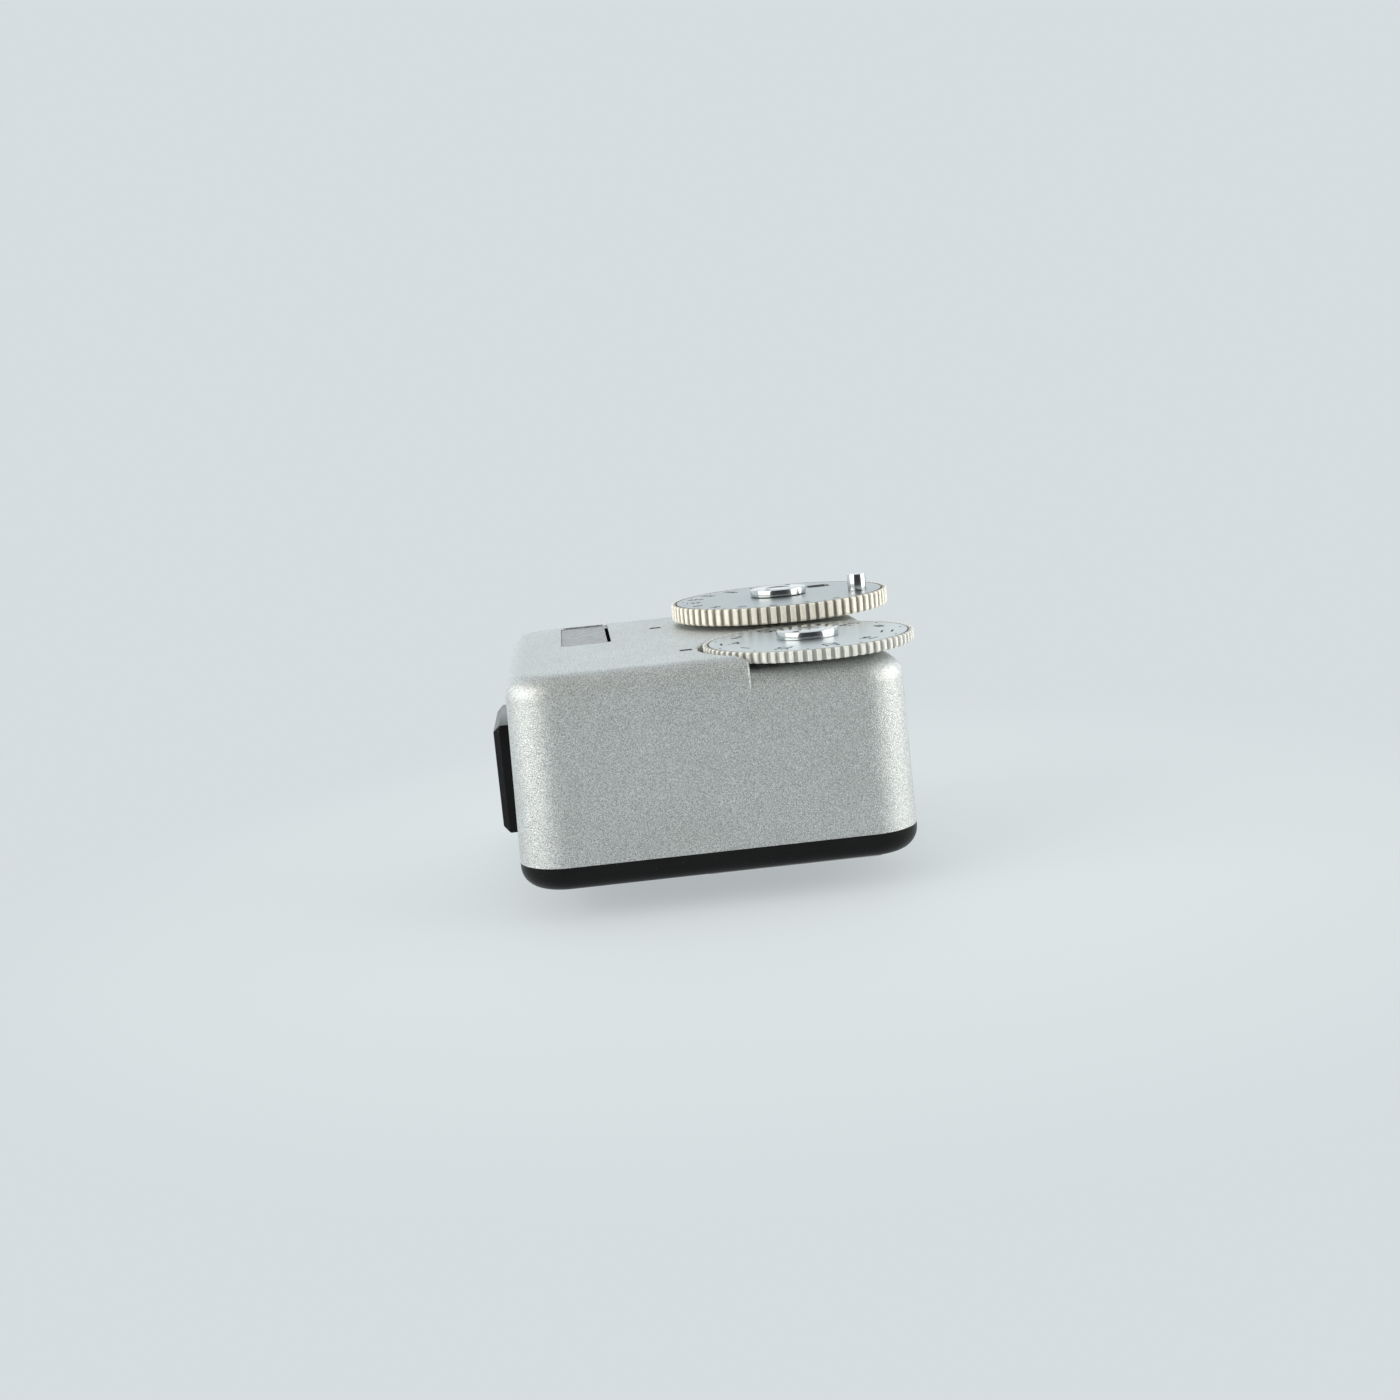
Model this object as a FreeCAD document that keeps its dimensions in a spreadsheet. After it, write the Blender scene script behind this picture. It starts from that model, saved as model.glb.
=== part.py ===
import FreeCAD, Part
import math
import os
import Sketcher

# A clip-on exposure meter for a camera's accessory shoe. The drafted metal housing stands on a
# rounded base plate and a metal shoe foot. Two toothed dials turn on its top, a measuring button
# sits in the rear wall, a light sensor in the front wall, and two button cells in the base.
# Millimetres, +Z up, +X towards the subject. The origin is the centre of the foot's underside.

DRIVING_SIZES = {
    # housing and base, seen as one drafted block with a seam
    "body_length": 40.3,
    "body_depth": 44.4,
    "foot_setback": 11.7,
    "corner_radius": 5.0,
    "housing_wall": 1.5,
    "wall_lean": 0.38,
    "top_wall": 2.0,
    "top_rounding": 2.2,
    "step_rounding": 0.3,
    "base_height": 2.6,
    "base_rounding": 2.1,
    "base_floor": 1.6,
    "lip_height": 1.2,
    "lip_wall": 1.0,
    # sunk terrace that the aperture dial lies in
    "terrace_depth": 1.55,
    "terrace_gap": 0.57,
    "terrace_floor": 1.4,
    "mouth_offset": 7.2,
    "works_height": 2.9,
    # shoe foot
    "foot_length": 19.8,
    "foot_width": 18.5,
    "foot_plate": 1.9,
    "foot_gap": 1.2,
    "foot_chamfer": 0.6,
    "neck_length": 17.0,
    "neck_width": 12.2,
    "backing_plate": 1.2,
    "backing_margin": 0.5,
    "foot_edge": 0.2,
    # dials
    "dial_setback": 8.8,
    "shutter_overhang": 0.4,
    "aperture_overhang": 0.5,
    "shutter_radius": 12.4,
    "aperture_radius": 10.85,
    "shutter_thickness": 1.84,
    "aperture_thickness": 1.1,
    "shutter_lift": 0.57,
    "aperture_lift": 0.62,
    "shutter_teeth": 72,
    "aperture_teeth": 74,
    "tooth_depth": 0.34,
    "tooth_slot": 0.46,
    "rim_width": 0.5,
    "face_thickness": 0.5,
    "face_gap": 0.12,
    "scale_thickness": 0.3,
    "slip_gap": 0.06,
    "nut_radius": 3.2,
    "nut_height": 0.8,
    "nut_chamfer": 0.15,
    "spanner_hole_radius": 0.38,
    "spanner_hole_depth": 0.5,
    "spanner_bearing": 53.0,
    "pin_radius": 1.05,
    "pin_height": 1.9,
    "pin_reach": 9.3,
    "pin_bearing": -22.0,
    "window_reach": 7.8,
    "window_bearing": 46.0,
    "window_side": 2.7,
    "pin_rivet_radius": 0.5,
    "scale_inset": 1.5,
    # dial spindles and the works under them
    "spindle_radius": 1.5,
    "spindle_gap": 0.05,
    "collar_step": 0.9,
    "bush_wall": 1.05,
    "bush_rim": 0.8,
    "bush_flange_thickness": 0.3,
    "bush_tail": 0.4,
    "index_radius": 4.2,
    "index_thickness": 0.5,
    "shutter_notches": 18,
    "aperture_notches": 22,
    "notch_radius": 0.35,
    "detent_gap": 0.15,
    "wiper_radius": 4.6,
    "wiper_thickness": 0.3,
    "wiper_gap": 0.2,
    # display window and lamps
    "lens_setback": 8.9,
    "lens_length": 18.0,
    "lens_width": 5.5,
    "lens_thickness": 1.1,
    "lens_recess": 0.1,
    "lens_ledge": 0.6,
    "lens_corner": 0.8,
    "lamp_radius": 1.5,
    "lamp_pitch": 5.2,
    "lamp_gap": 0.1,
    "lamp_clearance": 0.4,
    "lamp_shoulder": 0.5,
    "holder_margin": 0.4,
    "holder_rounding": 0.6,
    # measuring button and its switch
    "button_height": 11.2,
    "button_depth": 14.0,
    "button_proud": 1.65,
    "button_chamfer": 0.68,
    "button_gap": 0.15,
    "button_flange": 0.5,
    "button_flange_thickness": 1.0,
    "button_clearance": 0.4,
    "button_offset": 6.5,
    "stem_radius": 1.5,
    "stem_length": 1.17,
    "plunger_radius": 1.2,
    "plunger_length": 1.8,
    "switch_side": 6.0,
    "switch_thickness": 3.0,
    "switch_travel": 0.6,
    "small_board_thickness": 0.8,
    "small_board_width": 10.0,
    "small_board_drop": 9.0,
    # light sensor
    "sensor_level": 13.4,
    "sensor_radius": 3.8,
    "bezel_sleeve": 0.5,
    "bezel_width": 1.1,
    "bezel_proud": 0.4,
    "bezel_seat": 0.35,
    "sensor_gap": 0.2,
    "diffuser_crown": 0.3,
    "diffuser_shoulder": 1.2,
    "photocell_side": 4.0,
    "photocell_thickness": 1.2,
    # power
    "cell_radius": 5.8,
    "cell_thickness": 5.4,
    "battery_clearance": 0.12,
    "battery_offset": 9.8,
    "tube_gap": 0.25,
    "tube_wall": 0.95,
    "cap_flange": 0.85,
    "cap_plate": 1.15,
    "cap_stem": 1.6,
    "cap_recess": 0.05,
    "cap_gap": 0.2,
    "coin_slot_width": 1.4,
    "coin_slot_length": 9.0,
    "coin_slot_depth": 0.8,
    "coin_slot_rounding": 0.6,
    "seal_thickness": 0.6,
    "contact_thickness": 0.2,
    "contact_spring": 0.7,
    "contact_radius": 4.0,
    "cell_shoulder": 0.8,
    "cell_bevel": 0.2,
    "cell_gap": 0.1,
    # electronics and fasteners
    "board_thickness": 1.0,
    "board_gap": 0.35,
    "board_post_radius": 1.9,
    "board_post_behind": 10.8,
    "board_post_ahead": 1.6,
    "board_post_offset": 1.0,
    "chip_side": 7.0,
    "chip_thickness": 1.2,
    "post_radius": 2.1,
    "post_inset": 4.2,
    "boss_radius": 1.6,
    "post_gap": 0.1,
    "screw_radius": 0.8,
    "screw_head": 1.45,
    "screw_gap": 0.05,
    "case_screw_length": 9.0,
    "board_screw_length": 3.0,
    "board_screw_head": 0.8,
    "foot_screw_radius": 1.0,
    "foot_screw_head": 1.8,
    "foot_screw_length": 5.7,
    "foot_screw_spread": 5.6,
    "thread_reserve": 0.5,
    "fit_gap": 0.05,
}


class Size:
    """A length that knows its value and the sheet expression it comes from."""

    def __init__(self, value, text):
        self.value = float(value)
        self.text = text

    def __add__(self, other):
        return joined(self, "+", other)

    def __sub__(self, other):
        return joined(self, "-", other)

    def __mul__(self, other):
        return joined(self, "*", other)

    def __truediv__(self, other):
        return joined(self, "/", other)

    def __neg__(self):
        return joined(Size(0, "0"), "-", self)


def as_size(number):
    return number if isinstance(number, Size) else Size(number, f"({number:g})")


def joined(left, sign, right):
    left = as_size(left)
    right = as_size(right)
    values = {"+": left.value + right.value, "-": left.value - right.value, "*": left.value * right.value}
    if sign == "/":
        values["/"] = left.value / right.value
    return Size(values[sign], f"({left.text} {sign} {right.text})")


class Sheet:
    """The document's sheet of driving sizes, read as sheet.body_length and so on."""

    def __init__(self, doc):
        self.cells = doc.addObject("Spreadsheet::Sheet", "Sizes")
        for row, (name, value) in enumerate(DRIVING_SIZES.items(), start=1):
            self.cells.set(f"A{row}", name)
            self.cells.set(f"B{row}", f"{value:g}")
            self.cells.setAlias(f"B{row}", name)
            setattr(self, name, Size(value, f"Sizes.{name}"))
        doc.recompute()


doc = FreeCAD.newDocument("ExposureMeter")
s = Sheet(doc)
parts = []
ZERO = Size(0, "0")
OVERRUN = Size(1, "1")  # how far a cut runs past the face that it leaves by
BITE = Size(0.1, "0.1")  # how far a post reaches into the wall that carries it
EDGE_MATCH = 1e-4  # how near an edge lies to where it is looked for


# ---------------------------------------------------------------- levels and places

foot_top = s.foot_plate
base_bottom = foot_top + s.foot_gap
seam = base_bottom + s.base_height
base_inside = base_bottom + s.base_floor
lip_top = seam + s.lip_height
cap_bottom = base_bottom + s.cap_recess
stem_top = cap_bottom + s.cap_plate + s.cap_stem
cell_bottom = stem_top + s.contact_thickness + s.cell_gap
cell_top = cell_bottom + s.cell_thickness * 2
board_bottom = cell_top + s.contact_spring
board_top = board_bottom + s.board_thickness
ceiling = board_top + s.works_height
terrace = ceiling + s.terrace_floor
top = terrace + s.terrace_depth
window_ceiling = top - s.top_wall
housing_height = top - seam
lens_bottom = top - s.lens_recess - s.lens_thickness
button_level = lip_top + s.button_clearance + s.button_flange + s.button_height / 2

front = s.foot_setback
rear = front - s.body_length
middle_x = front - s.body_length / 2
left = -(s.body_depth / 2)
right = s.body_depth / 2
inset = s.housing_wall + s.wall_lean
post_bottom = lip_top + s.post_gap

dial_x = front - s.dial_setback
shutter_y = right + s.shutter_overhang - s.shutter_radius
aperture_y = left - s.aperture_overhang + s.aperture_radius
shutter_bottom = top + s.shutter_lift
aperture_bottom = terrace + s.aperture_lift
lens_x = rear + s.lens_setback
button_y = -s.button_offset

collar_radius = s.spindle_radius + s.collar_step
bush_radius = s.spindle_radius + s.spindle_gap + s.bush_wall
bush_flange = bush_radius + s.bush_rim
terrace_radius = s.aperture_radius + s.terrace_gap
lip_outside = inset + s.fit_gap * 2
lip_inside = lip_outside + s.lip_wall
battery_bore = s.cell_radius + s.tube_gap
tube_outside = battery_bore + s.tube_wall
battery_x = rear + lip_inside + s.battery_clearance + tube_outside
cap_radius = battery_bore + s.cap_flange


# ---------------------------------------------------------------- making pieces

def new_body(name):
    """An empty body whose label is the piece's name."""
    body = doc.addObject("PartDesign::Body", name)
    body.Label = name
    return body


def keep(piece):
    """Count a finished object as one of the meter's pieces."""
    parts.append(piece)
    return piece


def place(piece, x=ZERO, y=ZERO, z=ZERO):
    """Put a piece at (x, y, z), each bound to the sheet."""
    for axis, size in (("x", x), ("y", y), ("z", z)):
        piece.setExpression(f"Placement.Base.{axis}", size.text)
    return piece


def origin_of(body, role):
    return next(item for item in body.Origin.OriginFeatures if item.Role == role)


def new_sketch(body, plane, height=ZERO):
    """A sketch on one of the body's own origin planes, lifted along the plane's normal."""
    sketch = body.newObject("Sketcher::SketchObject", "Outline")
    sketch.AttachmentSupport = [(origin_of(body, plane), "")]
    sketch.MapMode = "FlatFace"
    sketch.setExpression("AttachmentOffset.Base.z", height.text)
    return sketch


def pin(sketch, geometry, end, x, y):
    """Hold one point of a sketch at x and y; a coordinate that is None stays free."""
    for kind, size in (("DistanceX", x), ("DistanceY", y)):
        if size is not None:
            index = sketch.addConstraint(Sketcher.Constraint(kind, -1, 1, geometry, end, size.value))
            sketch.setExpression(f"Constraints[{index}]", size.text)


def add_line(sketch, start, finish):
    """A line with both ends held."""
    line = Part.LineSegment(
        FreeCAD.Vector(start[0].value, start[1].value, 0),
        FreeCAD.Vector(finish[0].value, finish[1].value, 0))
    index = sketch.addGeometry(line, False)
    pin(sketch, index, 1, *start)
    pin(sketch, index, 2, *finish)
    return index


def add_polygon(sketch, points):
    """A closed outline of straight lines."""
    count = len(points)
    lines = []
    for number, point in enumerate(points):
        following = points[(number + 1) % count]
        line = Part.LineSegment(
            FreeCAD.Vector(point[0].value, point[1].value, 0),
            FreeCAD.Vector(following[0].value, following[1].value, 0))
        lines.append(sketch.addGeometry(line, False))
        pin(sketch, lines[-1], 1, *point)
    for number, line in enumerate(lines):
        sketch.addConstraint(Sketcher.Constraint("Coincident", line, 2, lines[(number + 1) % count], 1))


def add_circle(sketch, x, y, radius):
    circle = Part.Circle(FreeCAD.Vector(x.value, y.value, 0), FreeCAD.Vector(0, 0, 1), radius.value)
    index = sketch.addGeometry(circle, False)
    pin(sketch, index, 3, x, y)
    held = sketch.addConstraint(Sketcher.Constraint("Radius", index, radius.value))
    sketch.setExpression(f"Constraints[{held}]", radius.text)


def add_rounded_rectangle(sketch, x, y, length, width, radius):
    """A rectangle centred on (x, y) with rounded corners, round which it runs anticlockwise."""
    low_x = x - length / 2
    high_x = x + length / 2
    low_y = y - width / 2
    high_y = y + width / 2
    sides = [
        ((low_x + radius, low_y), (high_x - radius, low_y)),
        ((high_x, low_y + radius), (high_x, high_y - radius)),
        ((high_x - radius, high_y), (low_x + radius, high_y)),
        ((low_x, high_y - radius), (low_x, low_y + radius)),
    ]
    centres = [
        (high_x - radius, low_y + radius),
        (high_x - radius, high_y - radius),
        (low_x + radius, high_y - radius),
        (low_x + radius, low_y + radius),
    ]
    lines = [add_line(sketch, *side) for side in sides]
    for number, (x_centre, y_centre) in enumerate(centres):
        circle = Part.Circle(
            FreeCAD.Vector(x_centre.value, y_centre.value, 0), FreeCAD.Vector(0, 0, 1), radius.value)
        start = math.radians(-90 + 90 * number)
        arc = sketch.addGeometry(Part.ArcOfCircle(circle, start, start + math.pi / 2), False)
        sketch.addConstraint(Sketcher.Constraint("Coincident", arc, 1, lines[number], 2))
        sketch.addConstraint(Sketcher.Constraint("Coincident", arc, 2, lines[(number + 1) % 4], 1))
        held = sketch.addConstraint(Sketcher.Constraint("Radius", arc, radius.value))
        sketch.setExpression(f"Constraints[{held}]", radius.text)


def pad(body, sketch, length, down=False, lean=None):
    """Raise a sketch to a solid; lean is how far its walls lean inwards over the length."""
    feature = body.newObject("PartDesign::Pad", "Pad")
    feature.Profile = sketch
    feature.setExpression("Length", length.text)
    feature.Reversed = down
    if lean is not None:
        feature.setExpression("TaperAngle", f"-atan({lean.text} / {length.text})")
    doc.recompute()
    return feature


def cut(body, sketch, length, up=False):
    """Cut a sketch into the body, downwards along its normal unless up is set."""
    before = body.Shape.Volume
    feature = body.newObject("PartDesign::Pocket", "Pocket")
    feature.Profile = sketch
    feature.setExpression("Length", length.text)
    feature.Reversed = up
    doc.recompute()
    if not body.Shape.Volume < before - 1e-6:
        raise RuntimeError(f"a pocket in {body.Label} cuts nothing")
    return feature


def turn(body, points):
    """Turn an outline of (radius, height) points about the body's own Z axis."""
    sketch = new_sketch(body, "XZ_Plane")
    add_polygon(sketch, points)
    feature = body.newObject("PartDesign::Revolution", "Revolution")
    feature.Profile = sketch
    feature.ReferenceAxis = (sketch, ["V_Axis"])
    feature.Angle = 360
    doc.recompute()
    return feature


def round_edges(body, radius, chosen):
    """Round those edges of the body for which chosen(edge) is true."""
    base = body.Tip
    names = [f"Edge{number}" for number, edge in enumerate(base.Shape.Edges, start=1) if chosen(edge)]
    feature = body.newObject("PartDesign::Fillet", "Fillet")
    feature.Base = (base, names)
    feature.setExpression("Radius", radius.text)
    doc.recompute()
    return feature


def bevel_edges(body, size, chosen):
    """Chamfer those edges of the body for which chosen(edge) is true."""
    base = body.Tip
    names = [f"Edge{number}" for number, edge in enumerate(base.Shape.Edges, start=1) if chosen(edge)]
    feature = body.newObject("PartDesign::Chamfer", "Chamfer")
    feature.Base = (base, names)
    feature.setExpression("Size", size.text)
    doc.recompute()
    return feature


def polar_pattern(body, feature, count):
    """Repeat a feature round the body's own Z axis."""
    pattern = body.newObject("PartDesign::PolarPattern", "PolarPattern")
    pattern.Originals = [feature]
    pattern.Axis = (origin_of(body, "Z_Axis"), [""])
    pattern.Angle = 360
    pattern.setExpression("Occurrences", count.text)
    body.Tip = pattern
    doc.recompute()
    return pattern


def lies_at(edge, height):
    """True for an edge whose whole length is at one height."""
    box = edge.BoundBox
    return abs(box.ZMin - height.value) < EDGE_MATCH and abs(box.ZMax - height.value) < EDGE_MATCH


# ---------------------------------------------------------------- shared shapes

def shell_outline(sketch, shrink, radius):
    """The body's plan outline, drawn in on every side by shrink."""
    add_rounded_rectangle(
        sketch, middle_x, ZERO, s.body_length - shrink * 2, s.body_depth - shrink * 2, radius)


def corner_posts():
    """The four places of the case screws, in from the corners of the seam."""
    return [
        (x, y)
        for x in (rear + s.post_inset, front - s.post_inset)
        for y in (left + s.post_inset, right - s.post_inset)
    ]


def board_posts():
    """The two places of the board's screws, in line between the dials."""
    return [(dial_x - s.board_post_behind, -s.board_post_offset),
            (dial_x + s.board_post_ahead, -s.board_post_offset)]


def foot_screw_places():
    """The two places of the foot's screws, on its centre line."""
    return [(-s.foot_screw_spread, ZERO), (s.foot_screw_spread, ZERO)]


def polar_x(reach, bearing, angle):
    return Size(reach.value * math.cos(angle), f"({reach.text} * cos({bearing.text} * 1 deg))")


def polar_y(reach, bearing, angle):
    return Size(reach.value * math.sin(angle), f"({reach.text} * sin({bearing.text} * 1 deg))")


def circles(sketch, places, radius):
    for x, y in places:
        add_circle(sketch, x, y, radius)


def block(name, low, size):
    """A plain rectangular piece from its lowest corner and its size."""
    box = doc.addObject("Part::Box", name)
    box.Label = name
    for side, length in zip(("Length", "Width", "Height"), size):
        box.setExpression(side, length.text)
    place(box, *low)
    return box


def countersunk_screw(name, x, y, z, radius, head, length):
    """A flat-headed screw that points up, with its head's face at height z."""
    body = new_body(name)
    turn(body, [
        (ZERO, ZERO), (head, ZERO), (radius, head - radius), (radius, length), (ZERO, length)])
    return place(body, x, y, z)


def grouped(name, pieces):
    """One piece made of several identical solids."""
    group = doc.addObject("Part::Compound", name)
    group.Label = name
    group.Links = pieces
    return group


# ---------------------------------------------------------------- top housing

def cut_terrace_region(body):
    """Clear the region of the terrace: an arc round the dial, open to the left and the front."""
    sketch = new_sketch(body, "XY_Plane", top)
    radius = terrace_radius
    mouth_x = dial_x - s.mouth_offset
    mouth_y = aperture_y + s.mouth_offset
    beyond_x = front + radius
    beyond_y = left - radius
    reach = math.sqrt(radius.value ** 2 - s.mouth_offset.value ** 2)
    arc_start = math.atan2(s.mouth_offset.value, reach)
    arc_end = math.atan2(-reach, -s.mouth_offset.value) + 2 * math.pi
    circle = Part.Circle(
        FreeCAD.Vector(dial_x.value, aperture_y.value, 0), FreeCAD.Vector(0, 0, 1), radius.value)
    arc = sketch.addGeometry(Part.ArcOfCircle(circle, arc_start, arc_end), False)
    pin(sketch, arc, 3, dial_x, aperture_y)
    held = sketch.addConstraint(Sketcher.Constraint("Radius", arc, radius.value))
    sketch.setExpression(f"Constraints[{held}]", radius.text)
    pin(sketch, arc, 1, None, mouth_y)
    pin(sketch, arc, 2, mouth_x, None)
    corners = [
        FreeCAD.Vector(mouth_x.value, aperture_y.value - reach, 0),
        FreeCAD.Vector(mouth_x.value, beyond_y.value, 0),
        FreeCAD.Vector(beyond_x.value, beyond_y.value, 0),
        FreeCAD.Vector(beyond_x.value, mouth_y.value, 0),
        FreeCAD.Vector(dial_x.value + reach, mouth_y.value, 0),
    ]
    lines = [sketch.addGeometry(Part.LineSegment(a, b), False) for a, b in zip(corners, corners[1:])]
    sketch.addConstraint(Sketcher.Constraint("Coincident", arc, 2, lines[0], 1))
    for line, following in zip(lines, lines[1:]):
        sketch.addConstraint(Sketcher.Constraint("Coincident", line, 2, following, 1))
    sketch.addConstraint(Sketcher.Constraint("Coincident", lines[3], 2, arc, 1))
    pin(sketch, lines[0], 2, mouth_x, beyond_y)
    pin(sketch, lines[1], 2, beyond_x, beyond_y)
    pin(sketch, lines[2], 2, beyond_x, mouth_y)
    cut(body, sketch, housing_height + OVERRUN)


def round_step(body):
    """Round the step's upright corners and its edge wherever it meets the outer skin."""
    shape = body.Tip.Shape

    def on_step(edge):
        walls = [face for face in shape.ancestorsOfType(edge, Part.Face) if is_step_wall(face)]
        return len(walls) == 2 or (len(walls) == 1 and not lies_at(edge, seam))

    round_edges(body, s.step_rounding, on_step)


def is_step_wall(face):
    """True for an upright wall of the terrace: the arc round the dial or a side of its mouth."""
    if face.Surface.TypeId == "Part::GeomCylinder":
        return abs(face.Surface.Radius - terrace_radius.value) < EDGE_MATCH
    return face.BoundBox.XLength < EDGE_MATCH or face.BoundBox.YLength < EDGE_MATCH


def is_arc(edge, radius):
    """True for an edge that lies on a circle of one radius."""
    return edge.Curve.TypeId == "Part::GeomCircle" and abs(edge.Curve.Radius - radius.value) < EDGE_MATCH


def drafted_block(name, height):
    """A block on the seam with leaning walls and a rounded top edge."""
    body = new_body(name)
    outline = new_sketch(body, "XY_Plane", seam)
    shell_outline(outline, ZERO, s.corner_radius)
    pad(body, outline, height, lean=s.wall_lean * height / housing_height)
    round_edges(body, s.top_rounding, lambda edge: lies_at(edge, seam + height))
    return body


def hollow_housing(body):
    """The cavity, deeper over the lamps, with four screw posts and two board posts in it."""
    cavity = new_sketch(body, "XY_Plane", seam)
    shell_outline(cavity, inset, s.corner_radius - s.housing_wall)
    cut(body, cavity, ceiling - seam, up=True)

    well = new_sketch(body, "XY_Plane", seam)
    well_end = dial_x - terrace_radius - s.housing_wall * 2
    well_start = rear + inset
    add_rounded_rectangle(
        well, (well_start + well_end) / 2, ZERO, well_end - well_start,
        s.body_depth - inset * 2, s.corner_radius - s.housing_wall)
    cut(body, well, window_ceiling - seam, up=True)

    posts = new_sketch(body, "XY_Plane", post_bottom)
    circles(posts, corner_posts(), s.post_radius)
    pad(body, posts, window_ceiling - post_bottom + BITE)
    holes = new_sketch(body, "XY_Plane", post_bottom)
    circles(holes, corner_posts(), s.screw_radius + s.screw_gap)
    cut(body, holes, s.case_screw_length - (post_bottom - base_bottom) + s.thread_reserve, up=True)

    hangers = new_sketch(body, "XY_Plane", board_top)
    circles(hangers, board_posts(), s.board_post_radius)
    pad(body, hangers, s.works_height + BITE)
    hanger_holes = new_sketch(body, "XY_Plane", board_top)
    circles(hanger_holes, board_posts(), s.screw_radius + s.screw_gap)
    cut(body, hanger_holes, s.board_screw_length - s.board_thickness + s.thread_reserve, up=True)


def open_window(body):
    """The lens seat in the top, and the smaller slot under it that leaves a ledge."""
    seat = new_sketch(body, "XY_Plane", top)
    add_rounded_rectangle(seat, lens_x, shutter_y, s.lens_width, s.lens_length, s.lens_corner)
    cut(body, seat, s.lens_recess + s.lens_thickness)
    slot = new_sketch(body, "XY_Plane", top)
    add_rounded_rectangle(
        slot, lens_x, shutter_y, s.lens_width - s.lens_ledge * 2, s.lens_length - s.lens_ledge * 2,
        s.lens_corner - s.lens_ledge)
    cut(body, slot, s.top_wall + OVERRUN)


def open_walls(body):
    """The bush holes in the top, the button's opening behind and the sensor's hole in front."""
    bushes = new_sketch(body, "XY_Plane", top)
    circles(bushes, [(dial_x, shutter_y), (dial_x, aperture_y)], bush_radius)
    cut(body, bushes, top - ceiling + OVERRUN)

    through_wall = inset + OVERRUN * 2
    button = new_sketch(body, "YZ_Plane", rear - OVERRUN)
    add_rounded_rectangle(
        button, button_y, button_level, s.button_depth + s.button_gap * 2,
        s.button_height + s.button_gap * 2, s.button_gap * 2)
    cut(body, button, through_wall, up=True)

    spot_face = new_sketch(body, "YZ_Plane", front + OVERRUN)
    add_circle(spot_face, ZERO, s.sensor_level, s.sensor_radius + s.bezel_width + s.fit_gap)
    cut(body, spot_face, s.bezel_seat + OVERRUN)
    hole = new_sketch(body, "YZ_Plane", front + OVERRUN)
    add_circle(hole, ZERO, s.sensor_level, s.sensor_radius + s.bezel_sleeve + s.fit_gap)
    cut(body, hole, through_wall)


def make_top_housing():
    """The drafted metal shell, whose lower terrace has the same rounded edge as its top."""
    terrace_block = drafted_block("terrace_block", terrace - seam)
    body = drafted_block("top_housing", housing_height)
    cut_terrace_region(body)
    round_step(body)
    union = body.newObject("PartDesign::Boolean", "Union")
    union.Type = "Fuse"
    union.setObjects([terrace_block])
    doc.recompute()
    hollow_housing(body)
    open_window(body)
    open_walls(body)
    return keep(body)


# ---------------------------------------------------------------- base, foot and fasteners

def make_base_plate():
    """The black plate under the seam, with a locating lip and bosses that meet the screw posts."""
    body = new_body("base_plate")
    outline = new_sketch(body, "XY_Plane", base_bottom)
    shell_outline(outline, ZERO, s.corner_radius)
    pad(body, outline, s.base_height)
    round_edges(body, s.base_rounding, lambda edge: lies_at(edge, base_bottom))

    lip = new_sketch(body, "XY_Plane", seam)
    lip_radius = s.corner_radius - s.housing_wall - s.fit_gap * 2
    shell_outline(lip, lip_outside, lip_radius)
    pad(body, lip, s.lip_height)
    hollow = new_sketch(body, "XY_Plane", lip_top)
    shell_outline(hollow, lip_inside, lip_radius - s.lip_wall)
    cut(body, hollow, lip_top - base_inside)

    bosses = new_sketch(body, "XY_Plane", base_inside - BITE)
    circles(bosses, corner_posts(), s.boss_radius)
    pad(body, bosses, lip_top - base_inside + BITE)
    holes = new_sketch(body, "XY_Plane", lip_top)
    circles(holes, corner_posts(), s.screw_radius + s.screw_gap)
    cut(body, holes, lip_top - base_bottom + OVERRUN)
    countersink = s.screw_head - s.screw_radius + s.screw_gap * 2
    bevel_edges(
        body, countersink,
        lambda edge: lies_at(edge, base_bottom) and is_arc(edge, s.screw_radius + s.screw_gap))

    foot_holes = new_sketch(body, "XY_Plane", base_inside)
    circles(foot_holes, foot_screw_places(), s.foot_screw_radius + s.screw_gap)
    cut(body, foot_holes, s.base_floor + OVERRUN)

    cap_seat = new_sketch(body, "XY_Plane", base_bottom)
    add_circle(cap_seat, battery_x, s.battery_offset, cap_radius + s.cap_gap)
    cut(body, cap_seat, s.cap_recess + s.cap_plate + s.fit_gap, up=True)
    bore = new_sketch(body, "XY_Plane", base_bottom)
    add_circle(bore, battery_x, s.battery_offset, battery_bore)
    cut(body, bore, s.base_height + OVERRUN, up=True)
    return keep(body)


def make_shoe_foot():
    """The sliding plate of the accessory-shoe foot, countersunk for two screws."""
    body = new_body("shoe_foot")
    outline = new_sketch(body, "XY_Plane")
    half_length = s.foot_length / 2
    half_width = s.foot_width / 2
    bevel = s.foot_chamfer
    add_polygon(outline, [
        (-half_length + bevel, -half_width), (half_length - bevel, -half_width),
        (half_length, -half_width + bevel), (half_length, half_width - bevel),
        (half_length - bevel, half_width), (-half_length + bevel, half_width),
        (-half_length, half_width - bevel), (-half_length, -half_width + bevel)])
    pad(body, outline, s.foot_plate)
    bevel_edges(body, s.foot_edge, lambda edge: lies_at(edge, ZERO))
    holes = new_sketch(body, "XY_Plane", s.foot_plate)
    circles(holes, foot_screw_places(), s.foot_screw_radius + s.screw_gap)
    cut(body, holes, s.foot_plate + OVERRUN)
    bevel_edges(
        body, s.foot_screw_head - s.foot_screw_radius + s.screw_gap * 3,
        lambda edge: lies_at(edge, ZERO) and is_arc(edge, s.foot_screw_radius + s.screw_gap))
    return keep(body)


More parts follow.
